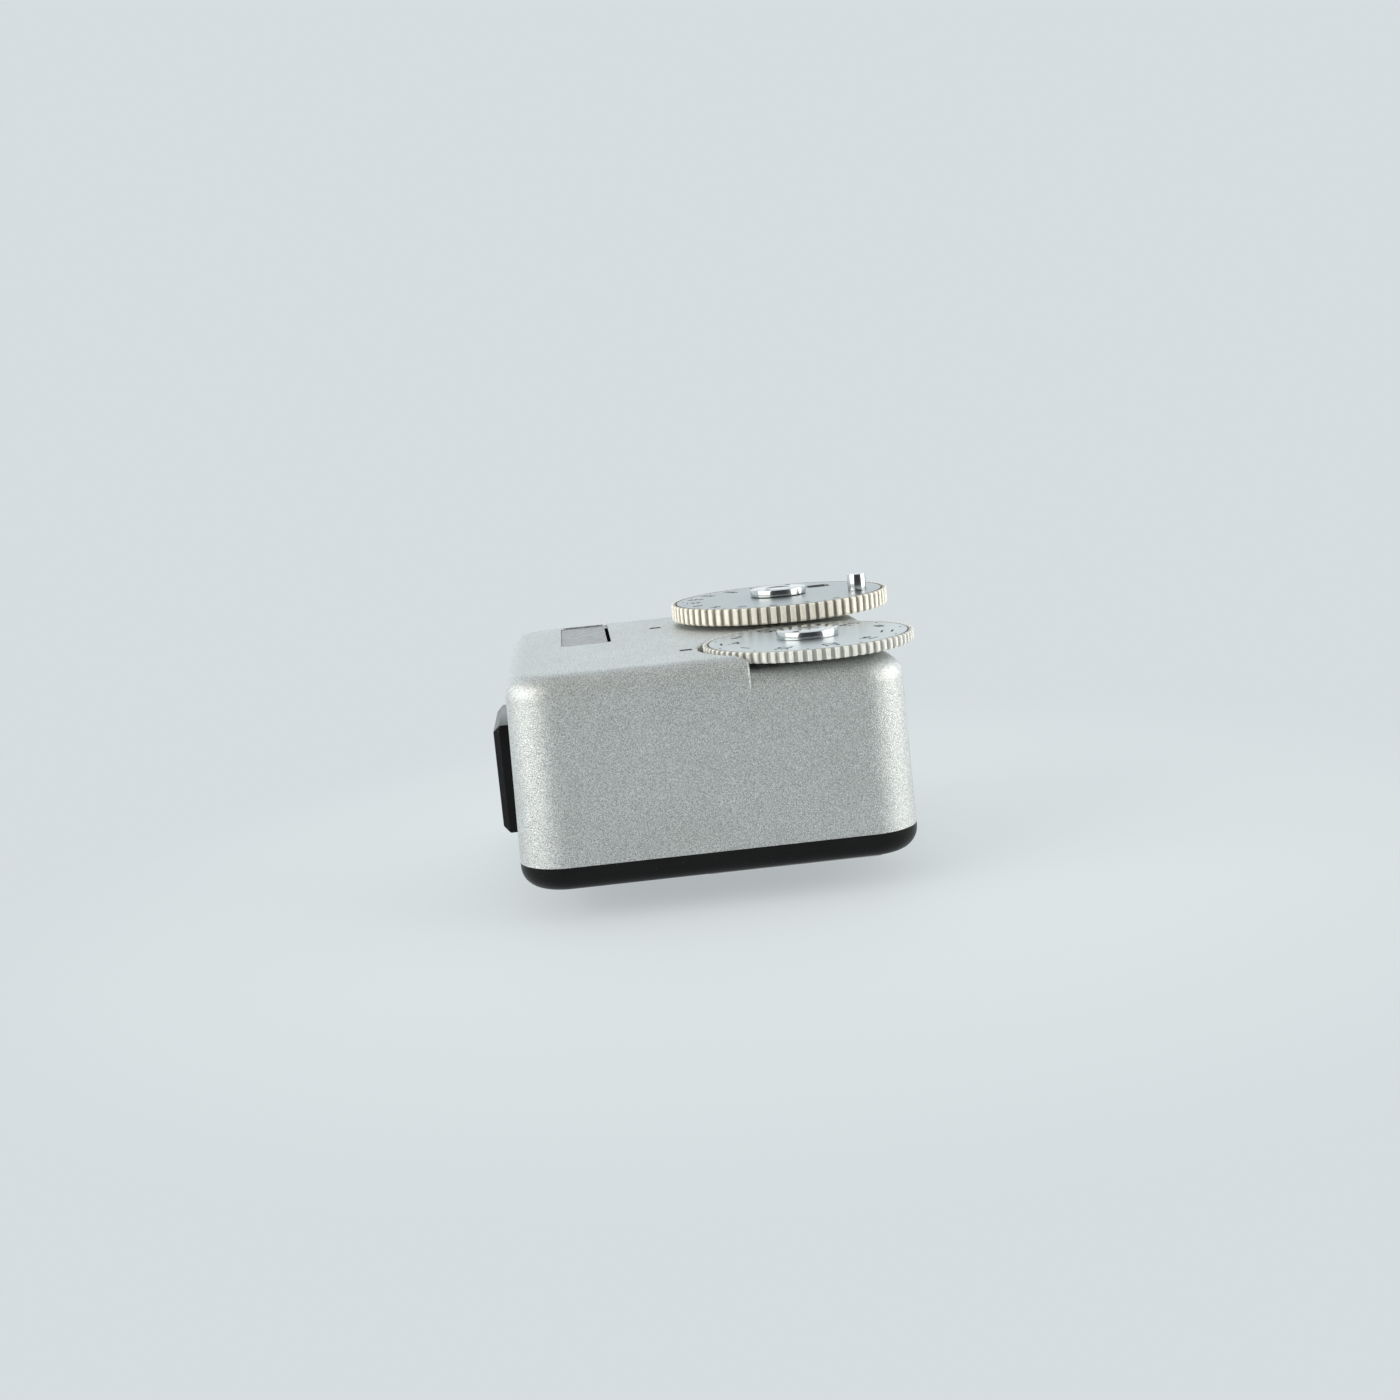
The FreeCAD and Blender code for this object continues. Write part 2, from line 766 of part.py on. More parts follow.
def drilled_plate(name, length, width, thickness, low):
    """A plate centred over the foot, drilled for the foot's screws."""
    body = new_body(name)
    outline = new_sketch(body, "XY_Plane", low)
    add_rounded_rectangle(outline, ZERO, ZERO, length, width, s.foot_chamfer)
    pad(body, outline, thickness)
    holes = new_sketch(body, "XY_Plane", low + thickness)
    circles(holes, foot_screw_places(), s.foot_screw_radius + s.screw_gap)
    cut(body, holes, thickness + OVERRUN)
    return keep(body)


def make_foot_parts():
    """The foot, its narrow neck between the rails, and the threaded plate inside the base."""
    make_shoe_foot()
    drilled_plate("foot_neck", s.neck_length, s.neck_width, s.foot_gap, foot_top)
    drilled_plate(
        "backing_plate", s.neck_length - s.backing_margin * 2, s.neck_width - s.backing_margin * 2,
        s.backing_plate, base_inside)


def make_screws():
    """The screws of the foot, of the case and of the circuit board."""
    foot = [
        countersunk_screw(
            f"foot_screw_{number}", x, y, s.fit_gap, s.foot_screw_radius, s.foot_screw_head,
            s.foot_screw_length)
        for number, (x, y) in enumerate(foot_screw_places(), start=1)
    ]
    keep(grouped("foot_screws", foot))
    case = [
        countersunk_screw(
            f"case_screw_{number}", x, y, base_bottom + s.fit_gap, s.screw_radius,
            s.screw_head - s.fit_gap, s.case_screw_length)
        for number, (x, y) in enumerate(corner_posts(), start=1)
    ]
    keep(grouped("case_screws", case))
    board = [
        pan_screw(f"board_screw_{number}", x, y, board_bottom - s.board_screw_head)
        for number, (x, y) in enumerate(board_posts(), start=1)
    ]
    keep(grouped("board_screws", board))


def pan_screw(name, x, y, z):
    """A round-headed screw that points up, with its head's top face at height z."""
    body = new_body(name)
    head = s.board_screw_head
    turn(body, [
        (ZERO, ZERO), (s.screw_head, ZERO), (s.screw_head, head), (s.screw_radius, head),
        (s.screw_radius, head + s.board_screw_length), (ZERO, head + s.board_screw_length)])
    return place(body, x, y, z)


# ---------------------------------------------------------------- dials

def make_toothed_ring(name, radius, thickness, teeth, recess, inner_recess, x, y, z):
    """A dial's rim: a shallow cup with square teeth cut round it."""
    body = new_body(name)
    face_radius = radius - s.rim_width
    profile = [
        (collar_radius, ZERO), (radius, ZERO), (radius, thickness), (face_radius, thickness),
        (face_radius, thickness - recess)]
    if inner_recess is not None:
        scale_radius = face_radius - s.scale_inset
        floor = thickness - recess - inner_recess
        profile += [(scale_radius, thickness - recess), (scale_radius, floor), (collar_radius, floor)]
    else:
        profile += [(collar_radius, thickness - recess)]
    turn(body, profile)
    slot = new_sketch(body, "XY_Plane", thickness)
    half = s.tooth_slot / 2
    add_polygon(slot, [
        (radius - s.tooth_depth, -half), (radius + OVERRUN, -half), (radius + OVERRUN, half),
        (radius - s.tooth_depth, half)])
    polar_pattern(body, cut(body, slot, thickness + OVERRUN), teeth)
    return keep(place(body, x, y, z))


def make_face(name, radius, thickness, bore, x, y, z, openings=()):
    """A dial's face plate, with a bore for the spindle and round or square openings."""
    body = new_body(name)
    turn(body, [(bore, ZERO), (radius, ZERO), (radius, thickness), (bore, thickness)])
    for outline in openings:
        sketch = new_sketch(body, "XY_Plane", thickness)
        outline(sketch)
        cut(body, sketch, thickness + OVERRUN)
    return keep(place(body, x, y, z))


def make_nut(name, x, y, z):
    """A round hub nut with two holes for a pin spanner."""
    body = new_body(name)
    turn(body, [
        (s.spindle_radius, ZERO), (s.nut_radius, ZERO), (s.nut_radius, s.nut_height - s.nut_chamfer),
        (s.nut_radius - s.nut_chamfer, s.nut_height), (s.spindle_radius, s.nut_height)])
    holes = new_sketch(body, "XY_Plane", s.nut_height)
    reach = (s.nut_radius + s.spindle_radius) / 2
    angle = math.radians(s.spanner_bearing.value)
    hole_x = polar_x(reach, s.spanner_bearing, angle)
    hole_y = polar_y(reach, s.spanner_bearing, angle)
    circles(holes, [(hole_x, hole_y), (-hole_x, -hole_y)], s.spanner_hole_radius)
    cut(body, holes, s.spanner_hole_depth)
    return keep(place(body, x, y, z))


def make_spindle(name, x, y, low, bush_top, web_top, high):
    """The dial's spindle: journal, collar that the rim is pressed on, and stud for the nut."""
    body = new_body(name)
    collar_low = bush_top + s.spindle_gap - low
    turn(body, [
        (ZERO, ZERO), (s.spindle_radius, ZERO), (s.spindle_radius, collar_low),
        (collar_radius, collar_low), (collar_radius, web_top - low),
        (s.spindle_radius, web_top - low), (s.spindle_radius, high - low), (ZERO, high - low)])
    return keep(place(body, x, y, low))


def make_bush(name, x, y, seat):
    """A flanged bearing bush in the top wall."""
    body = new_body(name)
    bore = s.spindle_radius + s.spindle_gap
    tail = seat - ceiling + s.bush_tail
    flange = tail + s.bush_flange_thickness
    turn(body, [
        (bore, ZERO), (bush_radius, ZERO), (bush_radius, tail), (bush_flange, tail),
        (bush_flange, flange), (bore, flange)])
    return keep(place(body, x, y, ceiling - s.bush_tail))


def make_index_wheel(name, x, y, z, notches):
    """The wheel under the top wall, with a notch for each click of the detent."""
    body = new_body(name)
    turn(body, [
        (s.spindle_radius, ZERO), (s.index_radius, ZERO), (s.index_radius, s.index_thickness),
        (s.spindle_radius, s.index_thickness)])
    notch = new_sketch(body, "XY_Plane", s.index_thickness)
    add_polygon(notch, [
        (s.index_radius - s.notch_radius, ZERO), (s.index_radius + s.notch_radius, -s.notch_radius * 2),
        (s.index_radius + s.notch_radius, s.notch_radius * 2)])
    polar_pattern(body, cut(body, notch, s.index_thickness + OVERRUN), notches)
    return keep(place(body, x, y, z))


def make_detent(name, x, y, z):
    """The sprung nose that stands beside the index wheel, on a foot under the ceiling."""
    body = new_body(name)
    arm = new_sketch(body, "XY_Plane")
    nose = s.index_radius + s.detent_gap
    width = s.notch_radius * 2
    add_polygon(arm, [
        (-nose, ZERO), (-nose - width, width), (-nose - width * 4, width),
        (-nose - width * 4, -width), (-nose - width, -width)])
    pad(body, arm, s.index_thickness)
    stand = new_sketch(body, "XY_Plane")
    add_polygon(stand, [
        (-nose - width * 2, -width), (-nose - width * 2, width), (-nose - width * 4, width),
        (-nose - width * 4, -width)])
    pad(body, stand, ceiling - z)
    return keep(place(body, x, y, z))


def make_wiper(name, x, y, z):
    """The contact disc that sweeps the tracks on the board."""
    body = new_body(name)
    turn(body, [
        (s.spindle_radius, ZERO), (s.wiper_radius, ZERO), (s.wiper_radius, s.wiper_thickness),
        (s.spindle_radius, s.wiper_thickness)])
    return keep(place(body, x, y, z))


def make_works(prefix, y, seat, web_top, stud_top, notches):
    """What a dial turns on: spindle, bush, index wheel, detent and wiper."""
    low = board_top + s.wiper_gap
    wheel = ceiling - s.bush_tail - s.fit_gap * 2 - s.index_thickness
    make_spindle(f"{prefix}_spindle", dial_x, y, low, seat + s.bush_flange_thickness, web_top, stud_top)
    make_bush(f"{prefix}_bush", dial_x, y, seat)
    make_index_wheel(f"{prefix}_index_wheel", dial_x, y, wheel, notches)
    make_detent(f"{prefix}_detent", dial_x, y, wheel)
    make_wiper(f"{prefix}_wiper", dial_x, y, low)


def make_shutter_dial():
    """The far dial: rim, sensitivity scale, and a face plate that slips round on the rim."""
    bottom = shutter_bottom
    web_top = bottom + s.shutter_thickness - s.face_thickness - s.slip_gap - s.scale_thickness
    face_bottom = bottom + s.shutter_thickness - s.face_thickness
    face_top = bottom + s.shutter_thickness
    face_radius = s.shutter_radius - s.rim_width - s.face_gap
    scale_radius = s.shutter_radius - s.rim_width - s.scale_inset
    make_toothed_ring(
        "shutter_rim", s.shutter_radius, s.shutter_thickness, s.shutter_teeth,
        s.face_thickness + s.slip_gap, s.scale_thickness, dial_x, shutter_y, bottom)
    make_face(
        "sensitivity_scale", scale_radius - s.fit_gap, s.scale_thickness, s.spindle_radius,
        dial_x, shutter_y, web_top)

    window_angle = math.radians(s.window_bearing.value)
    pin_angle = math.radians(s.pin_bearing.value)
    window_x = polar_x(s.window_reach, s.window_bearing, window_angle)
    window_y = polar_y(s.window_reach, s.window_bearing, window_angle)
    pin_x = polar_x(s.pin_reach, s.pin_bearing, pin_angle)
    pin_y = polar_y(s.pin_reach, s.pin_bearing, pin_angle)
    make_face(
        "shutter_face", face_radius, s.face_thickness, s.spindle_radius + s.slip_gap,
        dial_x, shutter_y, face_bottom,
        openings=[
            lambda sketch: add_rounded_rectangle(
                sketch, window_x, window_y, s.window_side, s.window_side, s.rim_width),
            lambda sketch: add_circle(sketch, pin_x, pin_y, s.pin_rivet_radius)])
    make_setting_pin(dial_x + pin_x, shutter_y + pin_y, face_bottom)
    make_nut("shutter_nut", dial_x, shutter_y, face_top + s.slip_gap)
    make_works(
        "shutter", shutter_y, top, web_top,
        face_top + s.slip_gap + s.nut_height - s.nut_chamfer, s.shutter_notches)


def make_setting_pin(x, y, z):
    """The upright pin riveted into the shutter face, by which the sensitivity is set."""
    body = new_body("setting_pin")
    head_top = s.face_thickness + s.pin_height
    turn(body, [
        (ZERO, ZERO), (s.pin_rivet_radius, ZERO), (s.pin_rivet_radius, s.face_thickness),
        (s.pin_radius, s.face_thickness), (s.pin_radius, head_top - s.nut_chamfer),
        (s.pin_radius - s.nut_chamfer, head_top), (ZERO, head_top)])
    return keep(place(body, x, y, z))


def make_aperture_dial():
    """The near dial, thinner, sunk into the terrace."""
    bottom = aperture_bottom
    web_top = bottom + s.aperture_thickness - s.face_thickness
    face_top = bottom + s.aperture_thickness
    make_toothed_ring(
        "aperture_rim", s.aperture_radius, s.aperture_thickness, s.aperture_teeth,
        s.face_thickness, None, dial_x, aperture_y, bottom)
    make_face(
        "aperture_face", s.aperture_radius - s.rim_width - s.face_gap, s.face_thickness,
        s.spindle_radius, dial_x, aperture_y, web_top)
    make_nut("aperture_nut", dial_x, aperture_y, face_top)
    make_works(
        "aperture", aperture_y, terrace, web_top, face_top + s.nut_height - s.nut_chamfer,
        s.aperture_notches)


# ---------------------------------------------------------------- display

def make_display():
    """The tinted window, its three lamps, and the block that keeps their light apart."""
    lens = new_body("display_window")
    outline = new_sketch(lens, "XY_Plane", lens_bottom)
    add_rounded_rectangle(
        outline, lens_x, shutter_y, s.lens_width - s.fit_gap * 2, s.lens_length - s.fit_gap * 2,
        s.lens_corner - s.fit_gap)
    pad(lens, outline, s.lens_thickness)
    keep(lens)

    holder = new_body("lamp_holder")
    outline = new_sketch(holder, "XY_Plane", board_top)
    slot_inset = s.lens_ledge * 2 - s.holder_margin
    add_rounded_rectangle(
        outline, lens_x, shutter_y, s.lens_width - slot_inset, s.lens_length - slot_inset,
        s.holder_rounding)
    pad(holder, outline, window_ceiling - s.fit_gap - board_top)
    bores = new_sketch(holder, "XY_Plane", board_top)
    places = [(lens_x, shutter_y + s.lamp_pitch * step) for step in (-1, 0, 1)]
    circles(bores, places, s.lamp_radius + s.lamp_gap)
    cut(holder, bores, window_ceiling - board_top + OVERRUN, up=True)
    keep(holder)

    lamp_top = lens_bottom - s.lamp_clearance - board_top
    lamps = []
    for number, (x, y) in enumerate(places, start=1):
        lamp = new_body(f"lamp_{number}")
        turn(lamp, [
            (ZERO, ZERO), (s.lamp_radius, ZERO), (s.lamp_radius, lamp_top - s.lamp_shoulder),
            (s.lamp_radius - s.lamp_shoulder, lamp_top), (ZERO, lamp_top)])
        lamps.append(place(lamp, x, y, board_top))
    keep(grouped("status_lamps", lamps))


# ---------------------------------------------------------------- electronics

def make_circuit_board():
    """The main board, notched for the screw posts and for the button's flange."""
    body = new_body("circuit_board")
    shrink = inset + s.board_gap
    outline = new_sketch(body, "XY_Plane", board_bottom)
    shell_outline(outline, shrink, s.corner_radius - s.housing_wall)
    pad(body, outline, s.board_thickness)
    corners = new_sketch(body, "XY_Plane", board_top)
    circles(corners, corner_posts(), s.post_radius + s.board_gap)
    cut(body, corners, s.board_thickness + OVERRUN)
    notch = new_sketch(body, "XY_Plane", board_top)
    notch_end = rear + inset + s.button_gap + s.button_flange_thickness + s.switch_travel + s.board_gap
    half = s.button_depth / 2 + s.button_flange + s.board_gap
    add_polygon(notch, [
        (rear, button_y - half), (notch_end, button_y - half), (notch_end, button_y + half),
        (rear, button_y + half)])
    cut(body, notch, s.board_thickness + OVERRUN)
    holes = new_sketch(body, "XY_Plane", board_top)
    circles(holes, board_posts(), s.screw_radius + s.screw_gap)
    cut(body, holes, s.board_thickness + OVERRUN)
    keep(body)

    side = s.chip_side
    keep(block(
        "controller_chip", (dial_x - side, aperture_y, board_bottom - s.chip_thickness),
        (side, side, s.chip_thickness)))


def make_sensor():
    """The light sensor in the front wall: bezel, diffuser, photocell and the board behind them."""
    facing_front = FreeCAD.Rotation(FreeCAD.Vector(0, 1, 0), 90)
    wall_outside = s.wall_lean * (s.sensor_level - seam) / housing_height
    seat = front - s.bezel_seat
    back = front - inset - s.sensor_gap
    sleeve = s.sensor_radius + s.bezel_sleeve
    flange = s.sensor_radius + s.bezel_width
    proud = front - wall_outside + s.bezel_proud - back

    bezel = new_body("sensor_bezel")
    turn(bezel, [
        (s.sensor_radius + s.fit_gap, ZERO), (sleeve, ZERO), (sleeve, seat - back),
        (flange, seat - back), (flange, proud - s.nut_chamfer), (flange - s.nut_chamfer, proud),
        (s.sensor_radius + s.fit_gap, proud)])
    bezel.Placement.Rotation = facing_front
    keep(place(bezel, back, ZERO, s.sensor_level))

    diffuser = new_body("sensor_diffuser")
    turn(diffuser, [
        (ZERO, ZERO), (s.sensor_radius, ZERO), (s.sensor_radius, proud - s.bezel_proud),
        (s.sensor_radius - s.diffuser_shoulder, proud - s.bezel_proud + s.diffuser_crown),
        (ZERO, proud - s.bezel_proud + s.diffuser_crown)])
    diffuser.Placement.Rotation = facing_front
    keep(place(diffuser, back, ZERO, s.sensor_level))

    cell_back = back - s.sensor_gap - s.photocell_thickness
    half = s.photocell_side / 2
    keep(block(
        "photocell", (cell_back, -half, s.sensor_level - half),
        (s.photocell_thickness, s.photocell_side, s.photocell_side)))
    half_board = s.small_board_width / 2
    keep(block(
        "sensor_board", (cell_back - s.small_board_thickness, -half_board, board_bottom - s.small_board_drop),
        (s.small_board_thickness, s.small_board_width, s.small_board_drop)))


def make_button():
    """The measuring button, its flange inside the wall, and the switch that it presses."""
    body = new_body("measuring_button")
    face = rear + s.wall_lean * (button_level - seam) / housing_height - s.button_proud
    flange_start = rear + inset + s.button_gap
    flange_end = flange_start + s.button_flange_thickness
    cap = new_sketch(body, "YZ_Plane", face)
    half_depth = s.button_depth / 2
    half_height = s.button_height / 2
    add_polygon(cap, [
        (button_y - half_depth, button_level - half_height),
        (button_y + half_depth, button_level - half_height),
        (button_y + half_depth, button_level + half_height),
        (button_y - half_depth, button_level + half_height)])
    pad(body, cap, flange_end - face)
    bevel_edges(body, s.button_chamfer, lambda edge: abs(edge.BoundBox.XMax - face.value) < EDGE_MATCH)
    flange = new_sketch(body, "YZ_Plane", flange_start)
    add_rounded_rectangle(
        flange, button_y, button_level, s.button_depth + s.button_flange * 2,
        s.button_height + s.button_flange * 2, s.button_flange)
    pad(body, flange, s.button_flange_thickness)
    stem = new_sketch(body, "YZ_Plane", flange_end)
    add_circle(stem, button_y, button_level, s.stem_radius)
    pad(body, stem, s.stem_length)
    keep(body)

    plunger_start = flange_end + s.stem_length
    plunger = new_body("switch_plunger")
    outline = new_sketch(plunger, "YZ_Plane", plunger_start)
    add_circle(outline, button_y, button_level, s.plunger_radius)
    pad(plunger, outline, s.plunger_length)
    keep(plunger)

    switch_start = plunger_start + s.switch_travel + s.board_gap
    bore_depth = s.plunger_length - s.board_gap
    switch = new_body("switch_housing")
    outline = new_sketch(switch, "YZ_Plane", switch_start)
    add_rounded_rectangle(
        outline, button_y, button_level, s.switch_side, s.switch_side, s.button_flange)
    pad(switch, outline, s.switch_thickness)
    bore = new_sketch(switch, "YZ_Plane", switch_start)
    add_circle(bore, button_y, button_level, s.plunger_radius + s.spindle_gap * 2)
    cut(switch, bore, bore_depth, up=True)
    keep(switch)

    half_board = s.small_board_width / 2
    keep(block(
        "switch_board", (switch_start + s.switch_thickness, button_y - half_board,
                         board_bottom - s.small_board_drop),
        (s.small_board_thickness, s.small_board_width, s.small_board_drop)))


# ---------------------------------------------------------------- power

def make_battery():
    """Two button cells in a tube between the cap in the base and the contact on the board."""
    tube = new_body("battery_tube")
    height = cell_top - base_inside
    turn(tube, [
        (battery_bore, ZERO), (tube_outside, ZERO), (tube_outside, height), (battery_bore, height)])
    keep(place(tube, battery_x, s.battery_offset, base_inside))

    cells = []
    for number in (1, 2):
        cell = new_body(f"cell_{number}")
        turn(cell, [
            (ZERO, ZERO), (s.cell_radius, ZERO), (s.cell_radius, s.cell_thickness - s.cell_bevel),
            (s.cell_radius - s.cell_shoulder, s.cell_thickness), (ZERO, s.cell_thickness)])
        height = cell_bottom + s.cell_thickness * (number - 1)
        cells.append(place(cell, battery_x, s.battery_offset, height))
    keep(grouped("button_cells", cells))

    spring = new_body("contact_spring")
    reach = s.contact_radius
    sheet_metal = s.contact_thickness
    rise = s.contact_spring
    turn(spring, [
        (ZERO, s.fit_gap), (reach / 2, s.fit_gap), (reach, rise - sheet_metal), (reach, rise),
        (reach / 2, sheet_metal + s.fit_gap), (ZERO, sheet_metal + s.fit_gap)])
    keep(place(spring, battery_x, s.battery_offset, cell_top))
    make_battery_cap()


def make_battery_cap():
    """The coin-slotted cap, with the seal round its stem and the contact on top of it."""
    cap = new_body("battery_cap")
    stem = battery_bore - s.cap_gap
    groove = stem - s.seal_thickness
    stem_height = s.cap_plate + s.cap_stem
    groove_low = s.cap_plate + s.cap_stem / 2 - s.seal_thickness / 2
    groove_high = groove_low + s.seal_thickness
    turn(cap, [
        (ZERO, ZERO), (cap_radius - s.nut_chamfer, ZERO), (cap_radius, s.nut_chamfer),
        (cap_radius, s.cap_plate), (stem, s.cap_plate), (stem, groove_low), (groove, groove_low),
        (groove, groove_high), (stem, groove_high), (stem, stem_height), (ZERO, stem_height)])
    slot = new_sketch(cap, "XY_Plane")
    add_rounded_rectangle(
        slot, ZERO, ZERO, s.coin_slot_length, s.coin_slot_width, s.coin_slot_rounding)
    cut(cap, slot, s.coin_slot_depth, up=True)
    keep(place(cap, battery_x, s.battery_offset, cap_bottom))

    seal = new_body("cap_seal")
    turn(seal, [
        (groove, ZERO), (stem + s.cap_gap / 4, ZERO), (stem + s.cap_gap / 4, s.seal_thickness),
        (groove, s.seal_thickness)])
    keep(place(seal, battery_x, s.battery_offset, cap_bottom + groove_low))

    contact = new_body("cap_contact")
    turn(contact, [
        (ZERO, ZERO), (s.contact_radius, ZERO), (s.contact_radius, s.contact_thickness),
        (ZERO, s.contact_thickness)])
    keep(place(contact, battery_x, s.battery_offset, stem_top))


# ---------------------------------------------------------------- build, check and write

def check_document():
    """Stop if any object failed or any piece is empty or invalid."""
    for item in doc.Objects:
        if "Invalid" in item.State or "Error" in item.State:
            raise RuntimeError(f"{item.Label} failed to build")
    for piece in parts:
        if piece.Shape.isNull() or not piece.Shape.isValid():
            raise RuntimeError(f"{piece.Label} is not a valid shape")


def write_parts():
    os.makedirs("parts", exist_ok=True)
    for piece in parts:
        piece.Shape.exportStep(os.path.join("parts", f"{piece.Label}.step"))


make_top_housing()
make_base_plate()
make_foot_parts()
make_screws()
make_shutter_dial()
make_aperture_dial()
make_display()
make_circuit_board()
make_sensor()
make_button()
make_battery()
doc.recompute()
check_document()
write_parts()
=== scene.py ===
import math

import bmesh
import bpy
from mathutils import Euler, Matrix, Vector


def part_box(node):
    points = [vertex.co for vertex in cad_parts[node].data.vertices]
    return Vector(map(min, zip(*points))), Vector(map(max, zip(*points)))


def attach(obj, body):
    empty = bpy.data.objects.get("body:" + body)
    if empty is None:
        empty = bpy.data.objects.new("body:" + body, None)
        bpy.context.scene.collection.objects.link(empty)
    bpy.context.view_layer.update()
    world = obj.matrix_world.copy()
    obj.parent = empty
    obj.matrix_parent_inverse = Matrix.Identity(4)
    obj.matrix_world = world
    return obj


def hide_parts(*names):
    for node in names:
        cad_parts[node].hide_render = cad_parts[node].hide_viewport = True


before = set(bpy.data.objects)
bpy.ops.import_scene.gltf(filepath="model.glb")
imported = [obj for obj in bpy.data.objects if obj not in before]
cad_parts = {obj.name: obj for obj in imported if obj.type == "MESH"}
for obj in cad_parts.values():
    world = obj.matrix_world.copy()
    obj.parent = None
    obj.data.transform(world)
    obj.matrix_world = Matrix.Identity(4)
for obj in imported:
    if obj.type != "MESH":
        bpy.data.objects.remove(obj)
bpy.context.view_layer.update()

scene = bpy.context.scene


# ------------------------------------------------------------------ base plate
# The moulded base that closes the meter from below. Black glass-filled nylon with a satin mould
# finish, rounded underneath, held by four screws that run up into the housing's posts.

MM = 0.001


def laid(tree, kind, inputs=None, **settings):
    """A node in a tree, with its settings, and its inputs linked or set. A list is many links."""
    node = tree.nodes.new(kind)
    for name, value in settings.items():
        setattr(node, name, value)
    for name, value in (inputs or {}).items():
        for item in value if isinstance(value, list) else [value]:
            if isinstance(item, bpy.types.NodeSocket):
                tree.links.new(item, node.inputs[name])
            else:
                node.inputs[name].default_value = item
    return node


class Finish:
    """One surface finish: its shader, and the grain, tint and relief added to it."""

    askew = (0.5, 0.7, 0.9)

    def __init__(self, name, metallic=0.0, **values):
        self.material = bpy.data.materials.new(name)
        self.material.use_nodes = True
        self.tree = self.material.node_tree
        self.shader = self.tree.nodes["Principled BSDF"]
        self.shader.inputs["Metallic"].default_value = metallic
        for socket, value in values.items():
            self.shader.inputs[socket.replace("_", " ")].default_value = value
        self.place = self.add("ShaderNodeTexCoord").outputs["Object"]
        self.relief = None

    def add(self, kind, inputs=None, **settings):
        return laid(self.tree, kind, inputs, **settings)

    def reckon(self, operation, first, second):
        """One number made of two."""
        return self.add("ShaderNodeMath", {0: first, 1: second}, operation=operation).outputs[0]

    def grain(self, size, stretch=(1, 1, 1), detail=3, seed=0.0):
        """Cloudy noise whose blots are about size across, drawn out by stretch.

        Its lattice lies askew to every wall, because a wall along it would show bands.
        """
        mapped = self.add("ShaderNodeMapping", {
            "Vector": self.place, "Scale": tuple(1 / (size * share) for share in stretch),
            "Rotation": self.askew, "Location": (seed, seed * 2, seed * 3)})
        return self.add("ShaderNodeTexNoise", {
            "Vector": mapped.outputs[0], "Scale": 1.0, "Detail": detail}).outputs["Fac"]

    def tint(self, factor, *stops):
        """Colours read off a ramp; each stop is (place, colour)."""
        node = self.add("ShaderNodeValToRGB", {"Fac": factor})
        elements = node.color_ramp.elements
        while len(elements) < len(stops):
            elements.new(0.5)
        for element, (at, colour) in zip(elements, stops):
            element.position = at
            element.color = (*colour, 1)
        return node.outputs["Color"]

    def spread(self, factor, low, high, start=0.3, end=0.7):
        """A number that goes from low to high as factor goes from start to end."""
        return self.add("ShaderNodeMapRange", {
            "Value": factor, "From Min": start, "From Max": end, "To Min": low,
            "To Max": high}).outputs["Result"]

    def blend(self, share, under, over, kind="MIX"):
        """Two colours mixed, the second over the first."""
        return self.add("ShaderNodeMix", {0: share, 6: under, 7: over},
                        data_type="RGBA", blend_type=kind).outputs[2]

    def show(self, colour=None, roughness=None):
        """Send a colour or a roughness to the shader."""
        for value, socket in ((colour, "Base Color"), (roughness, "Roughness")):
            if value is not None:
                self.tree.links.new(value, self.shader.inputs[socket])

    def raise_by(self, height, distance):
        """Relief from a height, on top of what is there."""
        inputs = {"Height": height, "Distance": distance, "Strength": 1.0}
        if self.relief is not None:
            inputs["Normal"] = self.relief
        self.relief = self.add("ShaderNodeBump", inputs).outputs["Normal"]
        self.tree.links.new(self.relief, self.shader.inputs["Normal"])


def coat(material, *names):
    """Give CAD nodes a finish."""
    for name in names:
        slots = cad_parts[name].data.materials
        slots.clear()
        slots.append(material)


def moulded_black(name, dark, light, low, high):
    """Satin moulded plastic: a fine spark-eroded mould grain, faint flow marks and dust."""
    finish = Finish(name, IOR=1.5, Specular_IOR_Level=0.12)
    flow = finish.grain(9 * MM, (1, 2.5, 1), detail=2)
    mould = finish.grain(0.11 * MM, detail=2)
    dust = finish.grain(0.2 * MM, detail=1, seed=4.0)
    dust_grey = (0.16, 0.16, 0.15, 1)
    body = finish.tint(flow, (0.35, dark), (0.7, light))
    specks = finish.spread(dust, 0.0, 0.3, 0.74, 0.8)
    finish.show(finish.blend(specks, body, dust_grey), finish.spread(mould, low, high))
    finish.raise_by(mould, 0.004 * MM)
    return finish.material


base_black = moulded_black(
    "satin_black_nylon", (0.005, 0.005, 0.0055), (0.009, 0.009, 0.0095), 0.3, 0.4)
coat(base_black, "base_plate")


# ------------------------------------------------------------------ shoe foot
# The plate that slides into a camera's accessory shoe, and the neck above it. Nickel-plated
# steel, drawn lengthwise, with fine marks from being slid in and out.


def drawn_metal(name, dark, light, low, high, along=(40, 1, 1)):
    """Metal with a drawn or ground grain along one axis, and a few long scratches."""
    finish = Finish(name, metallic=1.0)
    lines = finish.grain(0.05 * MM, along, detail=3)
    cloud = finish.grain(4 * MM, detail=2, seed=2.0)
    scratch = finish.grain(0.03 * MM, [1.5 * share + 1 for share in along], detail=0, seed=7.0)
    sheen = finish.tint(lines, (0.3, dark), (0.7, light))
    patina = finish.tint(cloud, (0.35, (0.86, 0.85, 0.83)), (0.65, (1, 1, 1)))
    finish.show(finish.blend(1.0, sheen, patina, "MULTIPLY"), finish.spread(lines, low, high))
    finish.raise_by(lines, 0.002 * MM)
    finish.raise_by(finish.spread(scratch, 1.0, 0.0, 0.2, 0.26), 0.006 * MM)
    return finish.material


